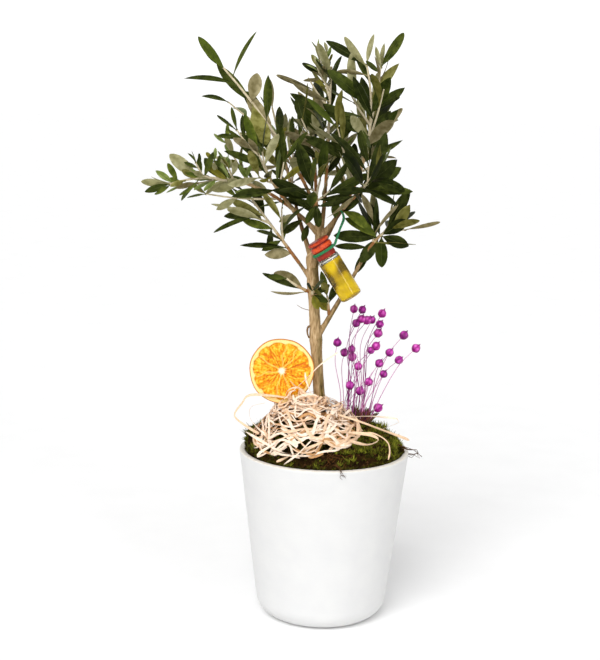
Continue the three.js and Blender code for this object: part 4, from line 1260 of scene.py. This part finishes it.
def fine_shoot(row, host, rng):
    """A short twig with pairs of leaves, by the same rule but free of the solid's corners."""
    start = frame_at(frames_of(host), row["at"])[0]
    length = row["bend"][0]
    twig = dict(line=grow_line(start, row["heading"], row["rise"], row["bend"], 4), length=length, main=False)
    frames = frames_of(twig["line"])
    pairs = max(1, int(length / (PAIR_SPACING * row["space"]) + 0.5))
    leaves = []
    for k in range(pairs + 1):
        part = mix(0.25, 0.985, k / pairs)
        for half in (0, 180):
            turn = row["roll"] + SHOOT_TURN * k + half + rng.uniform(-12, 12)
            splay = mix(*row["splay"], part) + rng.uniform(-7, 7)
            size = LEAF_LENGTH * row["leaf"] * (1.05 - 0.3 * part) * rng.uniform(0.88, 1.12)
            width = size * LEAF_SLIM * rng.uniform(0.9, 1.15)
            arch = rng.uniform(-0.05, 0.09)
            leaves.append(place_leaf(frame_at(frames, part), turn, splay, size, width, 0, arch))
    return twig, leaves


def single_leaf(stem, values, row, rng):
    """One leaf and its style."""
    at, heading, rise, length, slim, show = values[:6]
    leaf = dict(root=frame_at(frames_of(stem), at)[0], ahead=aim(heading, rise), length=length,
                width=length * slim, arch=rng.uniform(-0.08, 0.15))
    face_leaf(leaf, np.array((0, -show, 1 - abs(show))) + rng.normal(0, 0.1, 3))
    return leaf, dict(row, plump=SINGLE_PLUMP, tint=values[6] if len(values) > 6 else None)


def grow_shoot(row):
    random = seeded(row["seed"])
    tree = corner_tree("foliage_" + row["name"])
    stem = stem_of(row)
    twigs = [side_twig(stem, row, k, random) for k in range(row["twigs"])]
    twigs = [stem] + [twig for twig in twigs if twig_stands(twig, tree)]
    leaves = [leaf for twig in twigs for leaf in leaves_along(twig, row, tree, random)]
    return twigs, leaves


# Leaf meshes: a blade with a pale rib on its upper side and its own underside

# Each colour is a name, a roughness, two tones that it drifts between and a lighter tone painted where the
# blade catches light: a painted highlight
TOP_TONES = [
    ("deep", 0.42, (14, 20, 5), (25, 33, 8), (72, 80, 34)),
    ("dark", 0.42, (27, 36, 10), (42, 52, 12), (96, 104, 44)),
    ("green", 0.42, (48, 59, 16), (70, 83, 24), (116, 124, 50)),
    ("fresh", 0.42, (84, 100, 38), (112, 126, 62), (154, 164, 106)),
    ("yellow", 0.42, (68, 66, 10), (98, 93, 22), (138, 132, 60)),
]
UNDER_TONES = [
    ("grey", 0.75, (112, 110, 70), (142, 138, 96), (188, 184, 144)),
    ("taupe", 0.75, (92, 84, 50), (122, 112, 76), (170, 160, 124)),
    ("olive", 0.75, (70, 69, 20), (98, 95, 38), (158, 154, 92)),
]
TOPS = [row[0] for row in TOP_TONES]
UNDERS = [row[0] for row in UNDER_TONES]
# How often each colour shows above and below, and how often a leaf shows its underside
LOOKS = {
    "deep": dict(tops=(0.45, 0.34, 0.15, 0.02, 0.04), backs=(0.4, 0.38, 0.22), flip=0.14),
    "shade": dict(tops=(0.5, 0.36, 0.12, 0, 0.02), backs=(0.3, 0.4, 0.3), flip=0.05),
    "mixed": dict(tops=(0.34, 0.36, 0.22, 0.02, 0.06), backs=(0.4, 0.32, 0.28), flip=0.27),
    "fresh": dict(tops=(0.08, 0.2, 0.3, 0.36, 0.06), backs=(0.46, 0.12, 0.42), flip=0.38),
    "pale": dict(tops=(0.04, 0.12, 0.3, 0.44, 0.1), backs=(0.7, 0.15, 0.15), flip=0.45),
}


def leaf_materials():
    waxy = dict(Specular_IOR_Level=0.08, Specular_Tint=(0.7, 0.76, 0.25, 1))
    made = family("leaf_", TOP_TONES, LEAF_GRAIN, 0.1, **waxy)
    made += family("leaf_back_", UNDER_TONES, LEAF_GRAIN, 0.1, Specular_IOR_Level=0.05)
    rib = [("rib", 0.6, (56, 62, 24), (80, 86, 40))]
    return made + family("leaf_", rib, 4, 0.05, Specular_IOR_Level=0.15)


def leaf_faces():
    """Faces and their sides for one leaf: 0 is the top, 1 the underside and 2 the rib."""
    strip = [0, 0, 2, 0, 0, 1, 1, 1, 1]
    count, rings = len(strip), len(LEAF_STATIONS)
    faces = [[face[0], *face[:0:-1]] for face in wall_faces(rings, count)]
    faces.append(list(range(count - 1, -1, -1)))
    faces.append(list(range((rings - 1) * count, rings * count)))
    return faces, strip * (rings - 1) + [1, 1]


def leaf_outline(part, blunt):
    """Half width as a share of the greatest: a tapering foot, nearly straight sides and a round tip."""
    blade = np.clip((part - LEAF_STALK) / (1 - LEAF_STALK), 0, 1)
    foot = np.sin(0.5 * math.pi * np.minimum(blade / 0.55, 1)) ** 0.8
    tip = (1 - (np.maximum(blade - 0.5, 0) / 0.5) ** 2.4) ** blunt
    return foot * tip


def leaf_corners(leaf, plump, rng):
    t = LEAF_STATIONS
    half = 0.5 * leaf["width"] * plump * leaf_outline(t, rng.uniform(0.5, 0.95))
    half = np.maximum(half, np.where(t < 0.5, LEAF_STALK_HALF, 0.16))
    bow = 4 * leaf["arch"] * t * (1 - t) + rng.normal(0, 0.05) * t ** 3
    sway = rng.normal(0, 0.025) * t * t
    length = leaf["length"]
    spine = leaf["root"] + np.outer(t * length, leaf["ahead"]) + np.outer(bow * length, leaf["face"])
    spine = spine + np.outer(sway * length, leaf["wide"])
    roll = rng.normal(0, 0.3) * (t - 0.3)
    wide = np.outer(np.cos(roll), leaf["wide"]) + np.outer(np.sin(roll), leaf["face"])
    face = np.outer(np.cos(roll), leaf["face"]) - np.outer(np.sin(roll), leaf["wide"])
    fold = rng.uniform(0.15, 0.42)
    rib = np.minimum(RIB_HALF * (1.1 - t), 0.3 * half)
    thick = LEAF_THICK * (1 - 0.6 * t) + np.where(t < LEAF_STALK, 0.5, 0)

    def cup(reach):
        return half * fold * (reach - LEAF_CUP * reach ** 2)

    rows = []
    for aside in (half, 0.55 * half, rib, -rib, -0.55 * half, -half):
        rows.append((aside, cup(np.abs(aside) / half)))
    for share, keel in ((-0.5, 0.8), (0, 1.5), (0.5, 0.8)):
        rows.append((half * share, cup(abs(share)) - keel * thick))
    corners = [spine + aside[:, None] * wide + rise[:, None] * face for aside, rise in rows]
    return np.stack(corners, axis=1).reshape(-1, 3)


def leaf_sheen(rng):
    """Painted light on each corner of a leaf: a painted highlight on one half of the blade, fading towards
    its ends, and at random a lift of the whole leaf towards its lit tone.
    """
    across = LEAF_ACROSS * rng.choice((-1, 1))
    along = 0.55 + 0.45 * np.sin(math.pi * LEAF_STATIONS)
    lit = 0.8 * smooth_step(across, 0, 0.9) + 0.2 * across ** 2
    strength = rng.uniform(0.1, 1)
    whole = LEAF_GLOW * (LEAF_GLOW_STEPS * strength % 1)
    return whole + (1 - whole) * strength * np.outer(along, lit).ravel()


LEAF_FACES, LEAF_SIDES = leaf_faces()


def add_mass(row, barks, greens):
    """One mass of foliage, its twigs in one piece and its leaves in another."""
    name = row["name"]
    rng = np.random.default_rng(row["seed"])
    twigs, grown = grow_shoot(row)
    stem = twigs[0]["line"]
    sprays = [(row, [leaf for leaf in grown if not shows_sky(leaf)])]
    tips = []
    for fine in FINE_SHOOTS:
        if fine["name"] == name:
            twig, leaves = fine_shoot(fine, stem, rng)
            twigs.append(twig)
            sprays.append((fine, leaves))
            tips += [single_leaf(twig["line"], values, row, rng) for values in fine.get("tips", [])]
    wood, blades = Heap(), Heap()
    for twig in twigs:
        add_twig(wood, twig)
    for leaf, style in tips:
        add_leaf(blades, leaf, style, rng)
    for style, leaves in sprays:
        for leaf in leaves:
            leaf["length"] *= style.get("short", 1)
            leaf["width"] *= style.get("short", 1)
            turn_to_light(leaf, LOOKS[style["look"]]["flip"], rng)
            add_leaf(blades, leaf, style, rng)
    for host, line in ((name, stem), ("bough_" + name, lines.get(name))):
        for values in SINGLE_LEAVES.get(host, []):
            add_leaf(blades, *single_leaf(line, values, row, rng), rng)
    add_piece(wood.mesh("twigs_" + name), barks, ["foliage_" + name], 60)
    add_piece(blades.mesh("leaves_" + name), greens, ["foliage_" + name], 60)


def add_foliage():
    greens = leaf_materials()
    barks = family("twig_", [
        ("brown", 0.8, (128, 82, 42), (160, 114, 68)),
        ("tan", 0.8, (158, 130, 90), (186, 160, 120)),
        ("pale", 0.8, (178, 164, 132), (206, 194, 164)),
    ], 3, 0.1, Specular_IOR_Level=0.2)
    for row in LIMBS + SPRIGS:
        add_mass(row, barks, greens)


def add_twig(heap, twig):
    foot = twig["line"][0] - unit(twig["line"][1] - twig["line"][0]) * (STEM_SINK if twig["main"] else 0)
    line = smooth_line(np.vstack((foot, twig["line"][1:])), 4)
    parts = np.linspace(0, 1, len(line))
    thick, thin = STEM_RADII if twig["main"] else SIDE_TWIG_RADII
    age = parts if twig["main"] else parts * 0.6 + 0.4
    kinds = np.repeat(np.digitize(age[:-1], TWIG_AGES), TWIG_SIDES).tolist()
    heap.add(tube(line, mix(thick, thin, parts), TWIG_SIDES), kinds + [0, 2])


def add_leaf(heap, leaf, style, rng):
    look = LOOKS[style["look"]]
    top = int(rng.choice(len(TOPS), p=look["tops"]))
    back = len(TOPS) + int(rng.choice(len(UNDERS), p=look["backs"]))
    if style.get("tint") in TOPS:
        top = TOPS.index(style["tint"])
    if style.get("tint") in UNDERS:
        back = len(TOPS) + UNDERS.index(style["tint"])
    kinds = [(top, back, len(TOPS) + len(UNDERS))[side] for side in LEAF_SIDES]
    heap.add((leaf_corners(leaf, style["plump"] * LEAF_PLUMP, rng), LEAF_FACES), kinds, leaf_sheen(rng))


# Dried orange slice: rind, pith, puffed segments between pale membranes and a white core
def slice_point(across, up, out):
    lean = math.radians(90 - SLICE_LEAN)
    x = SLICE_MIDDLE[0] + across
    y = SLICE_MIDDLE[1] + up * math.cos(lean) - out * math.sin(lean)
    z = SLICE_MIDDLE[2] + up * math.sin(lean) + out * math.cos(lean)
    return x, y, z


def slice_warp(turn, share):
    return SLICE_WARP * math.sin(2 * turn + 1) * share ** 2


FLESH_DARK = tone(206, 106, 0)
FLESH_MIDDLE = tone(232, 156, 0)
FLESH_BRIGHT = tone(246, 208, 70)
FLESH_MARGIN = tone(176, 98, 10)
SEAM_PALE = tone(252, 208, 104)
SEAM_DARK = tone(196, 104, 6)
SLICE_CORE = tone(248, 236, 206)
SLICE_PITH = tone(250, 220, 146)
SLICE_RIND = tone(206, 126, 34)


def slice_surface(radius, turn, seams):
    """Height above the slice's middle plane and colour at one place on it."""
    share = radius / SLICE_RADIUS
    spoke = np.array((math.cos(turn), math.sin(turn)))
    sway = 0.05 * math.sin(radius / 2.6)
    gaps = [abs(math.sin((turn - seam) / 2 + sway * math.sin(5 * seam))) * 2 * radius for seam in seams]
    gap = min(gaps)
    inside = float(smooth_step(gap, 0.1, 0.9) * smooth_step(radius, 1.8, 4.5))
    fibre = noise.noise((*(spoke * 9), radius / 6)) + 0.9 * noise.noise((*(spoke * 20), radius / 3.2 + 40))
    bead = noise.noise((*(spoke * radius / 1.5), 4))
    flesh_edge = 0.88 - 0.05 * math.exp(-(gap / 2.4) ** 2) + 0.012 * noise.noise((*(spoke * 8), 60))
    pith = float(smooth_step(share, flesh_edge, flesh_edge + 0.025))
    rind = float(smooth_step(share, 0.96, 0.978))
    glow = float(np.clip(0.5 + 0.75 * fibre + 0.55 * bead + 0.3 * (share - 0.55), 0, 1))
    colour = mix(FLESH_DARK, FLESH_MIDDLE, min(2 * glow, 1))
    colour = mix(colour, FLESH_BRIGHT, 0.85 * max(2 * glow - 1, 0))
    seam_tone = SEAM_PALE if gaps.index(gap) % 3 else SEAM_DARK
    colour = mix(seam_tone, colour, mix(0.35, 1, inside))
    speckle = 0.55 + 0.6 * noise.noise((*(spoke * 5), 80))
    margin = math.exp(-((share - flesh_edge + 0.014) / 0.014) ** 2) * speckle
    colour = mix(colour, FLESH_MARGIN, float(np.clip(margin, 0, 0.8)))
    core = float(1 - smooth_step(radius, 1.6, 3.6 + 4.2 * max(noise.noise((*(spoke * 3.2), 8)), 0)))
    for layer, cover in ((SLICE_CORE, core), (SLICE_PITH, pith), (SLICE_RIND, rind)):
        colour = mix(colour, layer, cover)
    height = 0.75 * SLICE_HALF + 0.5 * inside * (0.6 + fibre) + 0.22 * bead * inside
    return mix(height, SLICE_HALF, pith) + slice_warp(turn, share), colour


def slice_seams():
    rng = np.random.default_rng(SEEDS["orange"])
    seams = []
    for k in range(SLICE_SEGMENTS):
        seams.append(math.tau * (k + rng.uniform(-0.18, 0.18)) / SLICE_SEGMENTS + 0.2)
    return seams


def slice_shape():
    """Corners and faces of the slice, and a colour for each corner."""
    seams = slice_seams()
    shares = np.r_[np.linspace(0.02, 0.96, SLICE_RINGS), 0.975, 0.988, 0.996, 1]
    turns = full_turn(SLICE_SIDES)
    corners, colours = [], []
    for face in (1, -1):
        for share in shares:
            for turn in turns:
                wobble = 1 + 0.012 * math.sin(3 * turn + 0.7) + 0.006 * math.sin(7 * turn)
                radius = share * SLICE_RADIUS
                height, colour = slice_surface(radius, turn if face > 0 else turn + 0.4, seams)
                past = max((share - SLICE_EDGE) / SLICE_EDGE_WIDTH, 0)
                edge = math.sqrt(max(1 - past ** 2, 0))
                warp = slice_warp(turn, share)
                out = warp + face * (height - warp) * max(edge, 0.05)
                across, up = polar(turn, radius * wobble)
                corners.append(slice_point(across, up, out))
                colours.append(colour)
    count, rings = len(turns), len(shares)
    half = rings * count
    sheet = wall_faces(rings, count) + [list(range(count))]
    faces = sheet + [[corner + half for corner in face[::-1]] for face in sheet]
    front, rear = half - count, 2 * half - count
    for k in range(count):
        after = (k + 1) % count
        faces.append([front + k, rear + k, rear + after, front + after])
    return (np.array(corners), faces), np.array(colours)


def orange_material():
    dried = Surface("orange_dried", Specular_IOR_Level=0.2)
    fine = dried.noise(0.9)
    tint = dried.ramp(fine, [(0.3, tone(226, 212, 196)), (0.6, tone(255, 255, 255))])
    dried.colour(dried.blend(0.6, dried.attribute("flesh", "Color"), tint, "MULTIPLY"))
    dried.roughness(fine, 0.4, 0.7)
    dried.bump(dried.noise(0.6), 0.2, 0.6)
    return dried.material


def add_orange():
    shape, colours = slice_shape()
    mesh = mesh_of("orange_disc", shape)
    mesh.attributes.new("flesh", "FLOAT_COLOR", "POINT").data.foreach_set("color", colours.ravel())
    add_piece(mesh, [orange_material()], ["orange_slice"], 80)


# Raffia nest: flat ribbons wound round a heap, and loose ones that stray
def ribbon(points, width, twist, rng, heart=(*NEST_MIDDLE, SOIL_TOP)):
    """A flat ribbon through the places, with its flat side away from the heart of the heap."""
    line = smooth_line(points, 3)
    count = len(line)
    ahead = np.gradient(line, axis=0)
    ahead /= np.linalg.norm(ahead, axis=1)[:, None]
    outward = line - heart
    across = np.cross(ahead, outward)
    across /= np.linalg.norm(across, axis=1)[:, None] + 1e-9
    flat = np.cross(across, ahead)
    turn = twist * np.sin(np.linspace(0, rng.uniform(2, 7), count) + rng.uniform(0, 6))
    across = across * np.cos(turn)[:, None] + flat * np.sin(turn)[:, None]
    wave = 1 + 0.18 * np.sin(np.linspace(0, rng.uniform(4, 12), count) + rng.uniform(0, 6))
    ends = np.clip(np.minimum(np.arange(count), np.arange(count)[::-1]) / 1.5 + 0.45, 0, 1)
    half = 0.5 * width * wave * ends
    outline = np.array(((1, 0), (0.45, 1), (-0.45, 1), (-1, 0), (-0.45, -0.6), (0.45, -0.6)))
    breadth = outline[None, :, 0] * half[:, None]
    depth = np.repeat(outline[None, :, 1] * RIBBON_THICK, count, 0)
    section = np.stack((breadth, depth), 2)
    return sweep(line, across, section)


def nest_ribbon(rng):
    """The places along one ribbon that winds round the heap, now and then folded back, and its tone: the
    lower it lies in the heap, the darker its tone, as painted shade.
    """
    layer = rng.uniform(0.2, 1) ** 0.6
    turn, spread = rng.uniform(0, math.tau), math.sqrt(rng.uniform(0.01, 0.85))
    way = rng.choice((-1, 1))
    drift = rng.normal(0, 0.05)
    points = []
    for k in range(int(rng.integers(4, 9))):
        x, y = NEST_MIDDLE + NEST_REACH * spread * np.array(polar(turn, 1))
        dome = (1 - spread ** 3) * (1 + 0.4 * noise.noise((x / 16, y / 16, 7)))
        points.append((x, y, moss_top(x, y) + 1.5 + layer * NEST_RISE * dome + abs(rng.normal(0, 2.4))))
        if rng.uniform() < 0.1:
            way = -way
        turn += way * NEST_STEP * rng.uniform(0.6, 1.2) / max(spread, 0.3)
        spread = float(np.clip(spread + drift + rng.normal(0, 0.1), 0.04, 0.98))
    # Painted shade: ribbons in the lower layers take the darker peach and sand
    shade = int(np.digitize(1 - layer + rng.normal(0, 0.2), (0.15, 0.42)))
    return points, shade


def nest_curl(rng):
    """The places along a small loose loop at the top of the heap."""
    middle = NEST_PEAK + rng.normal(0, 1, 3) * (7, 5, 4.5)
    size = rng.uniform(4.5, 11)
    across = unit(rng.normal(0, 1, 3) * (1, 0.6, 0.35))
    up = unit(rng.normal(0, 1, 3) * (0.5, 0.4, 1))
    start = rng.uniform(0, math.tau)
    turns = np.linspace(start, start + rng.uniform(2.2, 5.2), 9)
    grown = size * np.linspace(0.8, 1.25, 9)
    return middle + np.outer(grown * np.cos(turns), across) + np.outer(grown * np.sin(turns), up)


def straw_material(name, low, high):
    straw = Surface("raffia_" + name, Specular_IOR_Level=0.2)
    fibre = straw.noise(2.5, (1, 1, 2.5), 6)
    straw.colour(straw.ramp(fibre, [(0.35, low), (0.65, high)]))
    straw.roughness(fibre, 0.55, 0.75)
    straw.bump(straw.noise(0.7, (1, 1, 3)), 0.12, 0.6)
    return straw.material


def add_raffia():
    rng = np.random.default_rng(SEEDS["raffia"])
    heap = Heap()
    for i in range(NEST_RIBBONS):
        points, shade = nest_ribbon(rng)
        heap.add(ribbon(points, rng.uniform(1.2, 2.7), rng.uniform(0.1, 0.7), rng), shade)
    for i in range(NEST_CURLS):
        curl = ribbon(nest_curl(rng), rng.uniform(1.3, 2.4), rng.uniform(0.4, 1.3), rng, STRAY_HEART)
        heap.add(curl, int(rng.choice(2)))
    for points in RAFFIA_STRAYS:
        stray = ribbon(points, rng.uniform(1.3, 2.5), rng.uniform(0.5, 1.4), rng, STRAY_HEART)
        heap.add(stray, int(rng.choice(2)))
    # Cream, peach and sand: the darker ones go to ribbons low in the heap, as painted shade
    straws = [
        straw_material("cream", tone(232, 206, 180), tone(247, 230, 212)),
        straw_material("peach", tone(220, 184, 148), tone(236, 204, 172)),
        straw_material("sand", tone(174, 124, 76), tone(206, 160, 110)),
    ]
    add_piece(heap.mesh("raffia_ribbons"), straws, ["raffia_nest"], 45)


# Dyed flax
def flax_head(tip, way, radius, rng):
    """A round seed head with five soft seams, a small beak and a ring of sepals below."""
    heights = np.array((-1.12, -1.0, -0.86, -0.62, -0.3, 0.05, 0.4, 0.68, 0.88, 1.0, 1.2, 1.42))
    widths = np.array((0.16, 0.42, 0.66, 0.9, 1.03, 1.06, 0.97, 0.76, 0.48, 0.24, 0.12, 0.05))
    _, ahead, across, side = frames_of(np.array((tip, tip + way)))[0]
    turns = full_turn(FLAX_HEAD_SIDES)
    spin = rng.uniform(0, 6)
    corners, sheen = [], []
    for height, width in zip(heights, widths):
        # Painted shade in the seams and towards foot and beak, a painted highlight on the bellies
        valley = np.abs(np.cos(2.5 * (turns + spin))) ** 4
        sheen.append((1 - valley) * math.exp(-((height - 0.3) / 0.55) ** 2))
        seam = 1 - 0.16 * valley * min(1, 3 * width)
        seam = seam + 0.05 * np.sin(3 * turns + 4 * height + spin)
        for turn, ridge in zip(turns, seam):
            spread = radius * width * ridge
            corners.append(tip + ahead * height * radius + spread * turned(across, side, turn))
    return (np.array(corners), tube_faces(len(heights), FLAX_HEAD_SIDES)), np.concatenate(sheen)


def flax_stem(base, tip, bend, rng):
    rise = np.linalg.norm(tip - base)
    lower = base + 0.24 * (tip - base) + (0, 0, 0.14 * rise) + np.r_[rng.normal(0, 1.2, 2), 0]
    upper = mix(lower, tip, 0.55) + bend
    return smooth_line((base, mix(base, lower, 0.5), lower, upper, tip), 4)


def flax_purples():
    return family("flax_", [
        # The third tone of each is the painted highlight on the bellies of the heads
        ("purple", 0.4, (94, 2, 84), (150, 16, 130), (222, 88, 198)),
        ("magenta", 0.4, (112, 2, 90), (166, 20, 138), (230, 106, 204)),
        ("plum", 0.4, (74, 0, 68), (126, 10, 110), (194, 62, 172)),
    ], 3, 0.4, Specular_IOR_Level=0.25)


def flax_lilacs():
    return family("flax_stem_", [
        ("pink", 0.7, (176, 98, 152), (206, 142, 184)),
        ("plum", 0.7, (118, 34, 102), (164, 84, 142)),
    ], 8, 0.1)


def add_flax():
    random = seeded(SEEDS["flax_rule"])
    rng = np.random.default_rng(SEEDS["flax"])
    heads, stems = Heap(), Heap()
    for side, height in FLAX_HEADS:
        depth = FLAX_DEPTH * (random() - 0.4) * min(1, height / 50)
        base = FLAX_FOOT + (np.clip(side * 0.5 - 5, -20, 11), np.clip(depth * 0.5, -6, 6), -6)
        tip = FLAX_FOOT + (side, depth, height + 2)
        bow = rng.normal(0, 2.2, 2) - (FLAX_BOW * height * np.clip((side + 20) / 25, 0, 1), 0)
        line = flax_stem(base, tip, np.r_[bow, 0.04 * height], rng)
        radius = FLAX_HEAD_RADIUS * rng.uniform(0.95, 1.16)
        way = unit(line[-1] - line[-3])
        head, sheen = flax_head(tip, way, radius, rng)
        heads.add(head, int(rng.choice(3, p=(0.4, 0.4, 0.2))), sheen)
        stems.add(tapered(line, FLAX_STEM_RADII, FLAX_STEM_SIDES), int(rng.choice(2)))
    for k in range(FLAX_BARE_STEMS):
        turn = rng.uniform(0, math.tau)
        base = FLAX_FOOT + (14 * math.cos(turn), 7 * math.sin(turn), -6)
        tip = base + (rng.uniform(-8, 26), rng.uniform(-8, 8), rng.uniform(34, 72))
        line = flax_stem(base, tip, rng.normal(0, 1.5, 3), rng)
        stems.add(tapered(line, FLAX_BARE_RADII, FLAX_STEM_SIDES), int(rng.choice(2)))
    add_piece(heads.mesh("flax_heads"), flax_purples(), ["flax_bunch"], 60)
    add_piece(stems.mesh("flax_stems"), flax_lilacs(), ["flax_bunch"], 60)
    add_flax_foot(rng)


def add_flax_foot(rng):
    """A tuft of short straws at the foot of the bunch."""
    foot = Heap()
    for k in range(FLAX_FOOT_STRAWS):
        turn, spread = rng.uniform(0, math.tau), math.sqrt(rng.uniform(0, 1))
        place = np.array(polar(turn, spread))
        start = FLAX_FOOT + (*(place * FLAX_FOOT_REACH), -4)
        lean = (*(place * 5 + rng.normal(0, 3, 2)), 8 * (1.1 - spread) + rng.uniform(2, 7))
        line = smooth_line((start, start + np.array(lean) * 0.5, start + lean + rng.normal(0, 0.6, 3)), 2.5)
        widths = np.linspace(1, 0.4, len(line)) * rng.uniform(0.6, 1.2)
        foot.add(tube(line, widths, FLAX_STEM_SIDES), int(rng.choice(3, p=(0.6, 0.32, 0.08))))
    clump = family("flax_foot_", [
        ("brown", 0.85, (66, 44, 24), (108, 76, 42)),
        ("red", 0.85, (92, 40, 34), (138, 70, 56)),
        ("plum", 0.8, (110, 36, 92), (150, 66, 124)),
    ], 3, 0.3)
    add_piece(foot.mesh("flax_foot"), clump, ["flax_bunch"], 60)


# Oil bottle, made upright and leaned over as in the source
def leaned(shape):
    corners, faces = shape
    turn = np.array(Matrix.Rotation(math.radians(BOTTLE_LEAN), 3, "Y"))
    return corners @ turn.T + BOTTLE_BASE, faces


def shoulder(radius, neck, height):
    turns = np.linspace(0, math.pi / 2, 9)
    return [(mix(neck, radius, math.cos(t)), BOTTLE_BODY + height * math.sin(t)) for t in turns]


def glass_line():
    hollow, bore = BOTTLE_RADIUS - BOTTLE_GLASS, NECK_RADIUS - BOTTLE_GLASS
    foot, bed = BOTTLE_FOOT_ROUNDING, BOTTLE_HOLLOW_ROUNDING
    line = [(0, 0.5), (4, 0.4), (6, 0), *arc((BOTTLE_RADIUS - foot, foot), foot, -90, 0, 6)]
    line += shoulder(BOTTLE_RADIUS, NECK_RADIUS, 3.2)
    line += [(NECK_RADIUS, TIE_LOW - GAP), (bore, TIE_LOW - GAP)]
    line += shoulder(hollow, bore, 2)[::-1]
    return [*line, *arc((hollow - bed, 3.2), bed, 0, -90, 6), (0, 1.8)]


def oil_line():
    oil, bed = BOTTLE_RADIUS + BOTTLE_BITE, BOTTLE_HOLLOW_ROUNDING
    line = [(0, 1.2), *arc((oil - bed, 2.6), bed, -90, 0, 6), (oil, OIL_TOP)]
    return [*line, (oil - 1.2, OIL_TOP - 0.6), (0, OIL_TOP - 0.7)]


def seal_line():
    """The plug in the neck, the groove for the tie, and the grooves and lip of the wax."""
    plug, seal, tie_top = NECK_RADIUS + BOTTLE_BITE, SEAL_RADIUS, TIE_LOW + TIE_WIDTH
    line = [(0, OIL_TOP + 3), (plug - 1, OIL_TOP + 3), (plug, OIL_TOP + 3.8), (plug, TIE_LOW)]
    line += [(seal - TIE_INSET, TIE_LOW), (seal - TIE_INSET, tie_top)]
    line += [(seal - 0.5, tie_top + 0.3), (seal, tie_top + 0.9)]
    grooves = ((0, 5.2), (0.4, 4.4), (1.4, 4.1), (1.4, 3), (0.4, 2.7), (0, 2.1), (0, 0.9), (0.8, 0))
    line += [(seal - inset, SEAL_TOP - below) for inset, below in grooves]
    return [*line, (0, SEAL_TOP)]


def add_bottle():
    shapes = {
        "bottle_shell": ("bottle_glass", glass_line(), glass_material()),
        "bottle_fill": ("bottle_oil", oil_line(), oil_material()),
        "bottle_cap": ("bottle_seal", seal_line(), wax_material()),
    }
    for name, (node, line, made) in shapes.items():
        shape = lathe(line, BOTTLE_SIDES)
        reach = np.hypot(shape[0][:, 0], shape[0][:, 1])
        # Painted light on the wax: a painted highlight on its outer rims, painted shade in its grooves, and
        # the sunk plug darker too; glass and oil don't use it
        sheen = smooth_step(reach, SEAL_RADIUS - 1.2, SEAL_RADIUS)
        add_piece(mesh_of(name, leaned(shape), 0, sheen), [made], [node], 35)


def glass_material():
    glass = Surface("bottle_clear", Transmission_Weight=1.0, IOR=1.45, Roughness=0.02)
    glass.colour(glass.ramp(glass.noise(8), [(0.3, tone(244, 248, 240)), (0.7, tone(252, 254, 250))]))
    glass.bump(glass.noise(5), 0.05, 0.3)
    return glass.material


def oil_material():
    oil = Surface("bottle_golden", Transmission_Weight=0.6, IOR=1.47, Roughness=0.03, Specular_IOR_Level=0.2)
    # Dark olive patches: painted refraction of the dark leaves behind the bottle
    painted_refraction = oil.noise(15, (1, 1, 0.6), 1)
    stops = [(0.42, tone(92, 70, 0)), (0.5, tone(192, 154, 0)), (0.6, tone(252, 212, 0))]
    oil.colour(oil.ramp(painted_refraction, stops))
    oil.bump(oil.noise(6), 0.05, 0.3)
    return oil.material


def wax_material():
    # The third tone is the painted highlight on the crests of the wax rings
    wax = [("wax", 0.4, (104, 14, 4), (142, 28, 8), (208, 76, 28))]
    return family("bottle_", wax, 3, 0.2, Specular_IOR_Level=0.3)[0]


def twined(line, radius, pitch):
    """Two thin strands twisted round each other along a line."""
    line = smooth_line(line, 0.7)
    frames = frames_of(line)
    strands = []
    for start in (0, math.pi):
        offset = []
        for entry, walked in zip(frames, walked_along(line)):
            turn = math.tau * walked / pitch + start
            offset.append(radius * 0.5 * turned(*entry[2:], turn))
        strands.append(tube(line + offset, np.full(len(line), radius * 0.56), 7))
    return strands


def add_tie():
    waist = TIE_LOW + TIE_WIDTH / 2
    snug = SEAL_RADIUS - TIE_INSET + TIE_CORD_RADIUS
    turns = np.linspace(0, 4 * math.pi, TIE_STEPS)
    rise = np.linspace(TIE_LOW + TIE_CORD_RADIUS, TIE_LOW + TIE_WIDTH - TIE_CORD_RADIUS, TIE_STEPS)
    coil = np.stack((snug * np.cos(turns), snug * np.sin(turns), rise), axis=1)
    coil, _ = leaned((coil, []))
    hold = leaned((np.array([[snug + 0.5, 0, waist]]), []))[0][0]
    point, _, across, side = frame_at(frames_of(lines["right"]), TIE_AT)
    away = radii["right"](TIE_AT) + TIE_CORD_RADIUS + 0.2
    over = across * (away if across[2] > 0 else -away)
    behind = side * (away if side[1] > 0 else -away)

    def around(back, up):
        return point + behind * back + over * up

    loop = [hold, mix(around(-1.1, -1.4), hold, 0.5), mix(around(-1.1, -1.4), hold, 0.15), around(-1, -0.2),
            around(-0.7, 0.7), around(0, 1), around(0.7, 0.7), around(1, -0.2),
            mix(around(0.4, -1.8), hold, 0.15), mix(around(-0.2, -1.8), hold, 0.5), hold + (0.9, 0.9, 0)]
    heap = Heap()
    for route, radius in ((coil, TIE_CORD_RADIUS), (loop, TIE_CORD_RADIUS * 0.85)):
        for strand in twined(route, radius, TIE_TWIST):
            heap.add(strand)
    cord = drifting("tie_green", tone(14, 92, 50), tone(34, 138, 82), 0.7, 0.8, 0.15)
    add_piece(heap.mesh("bottle_cord"), [cord], ["bottle_tie"], 60)


add_camera()
add_floor()
add_key()
add_sky()
add_strip()
grow_limbs()
add_pot()
add_soil()
add_cushion()
add_tufts()
add_litter()
add_bark()
add_foliage()
add_orange()
add_raffia()
add_flax()
add_bottle()
add_tie()
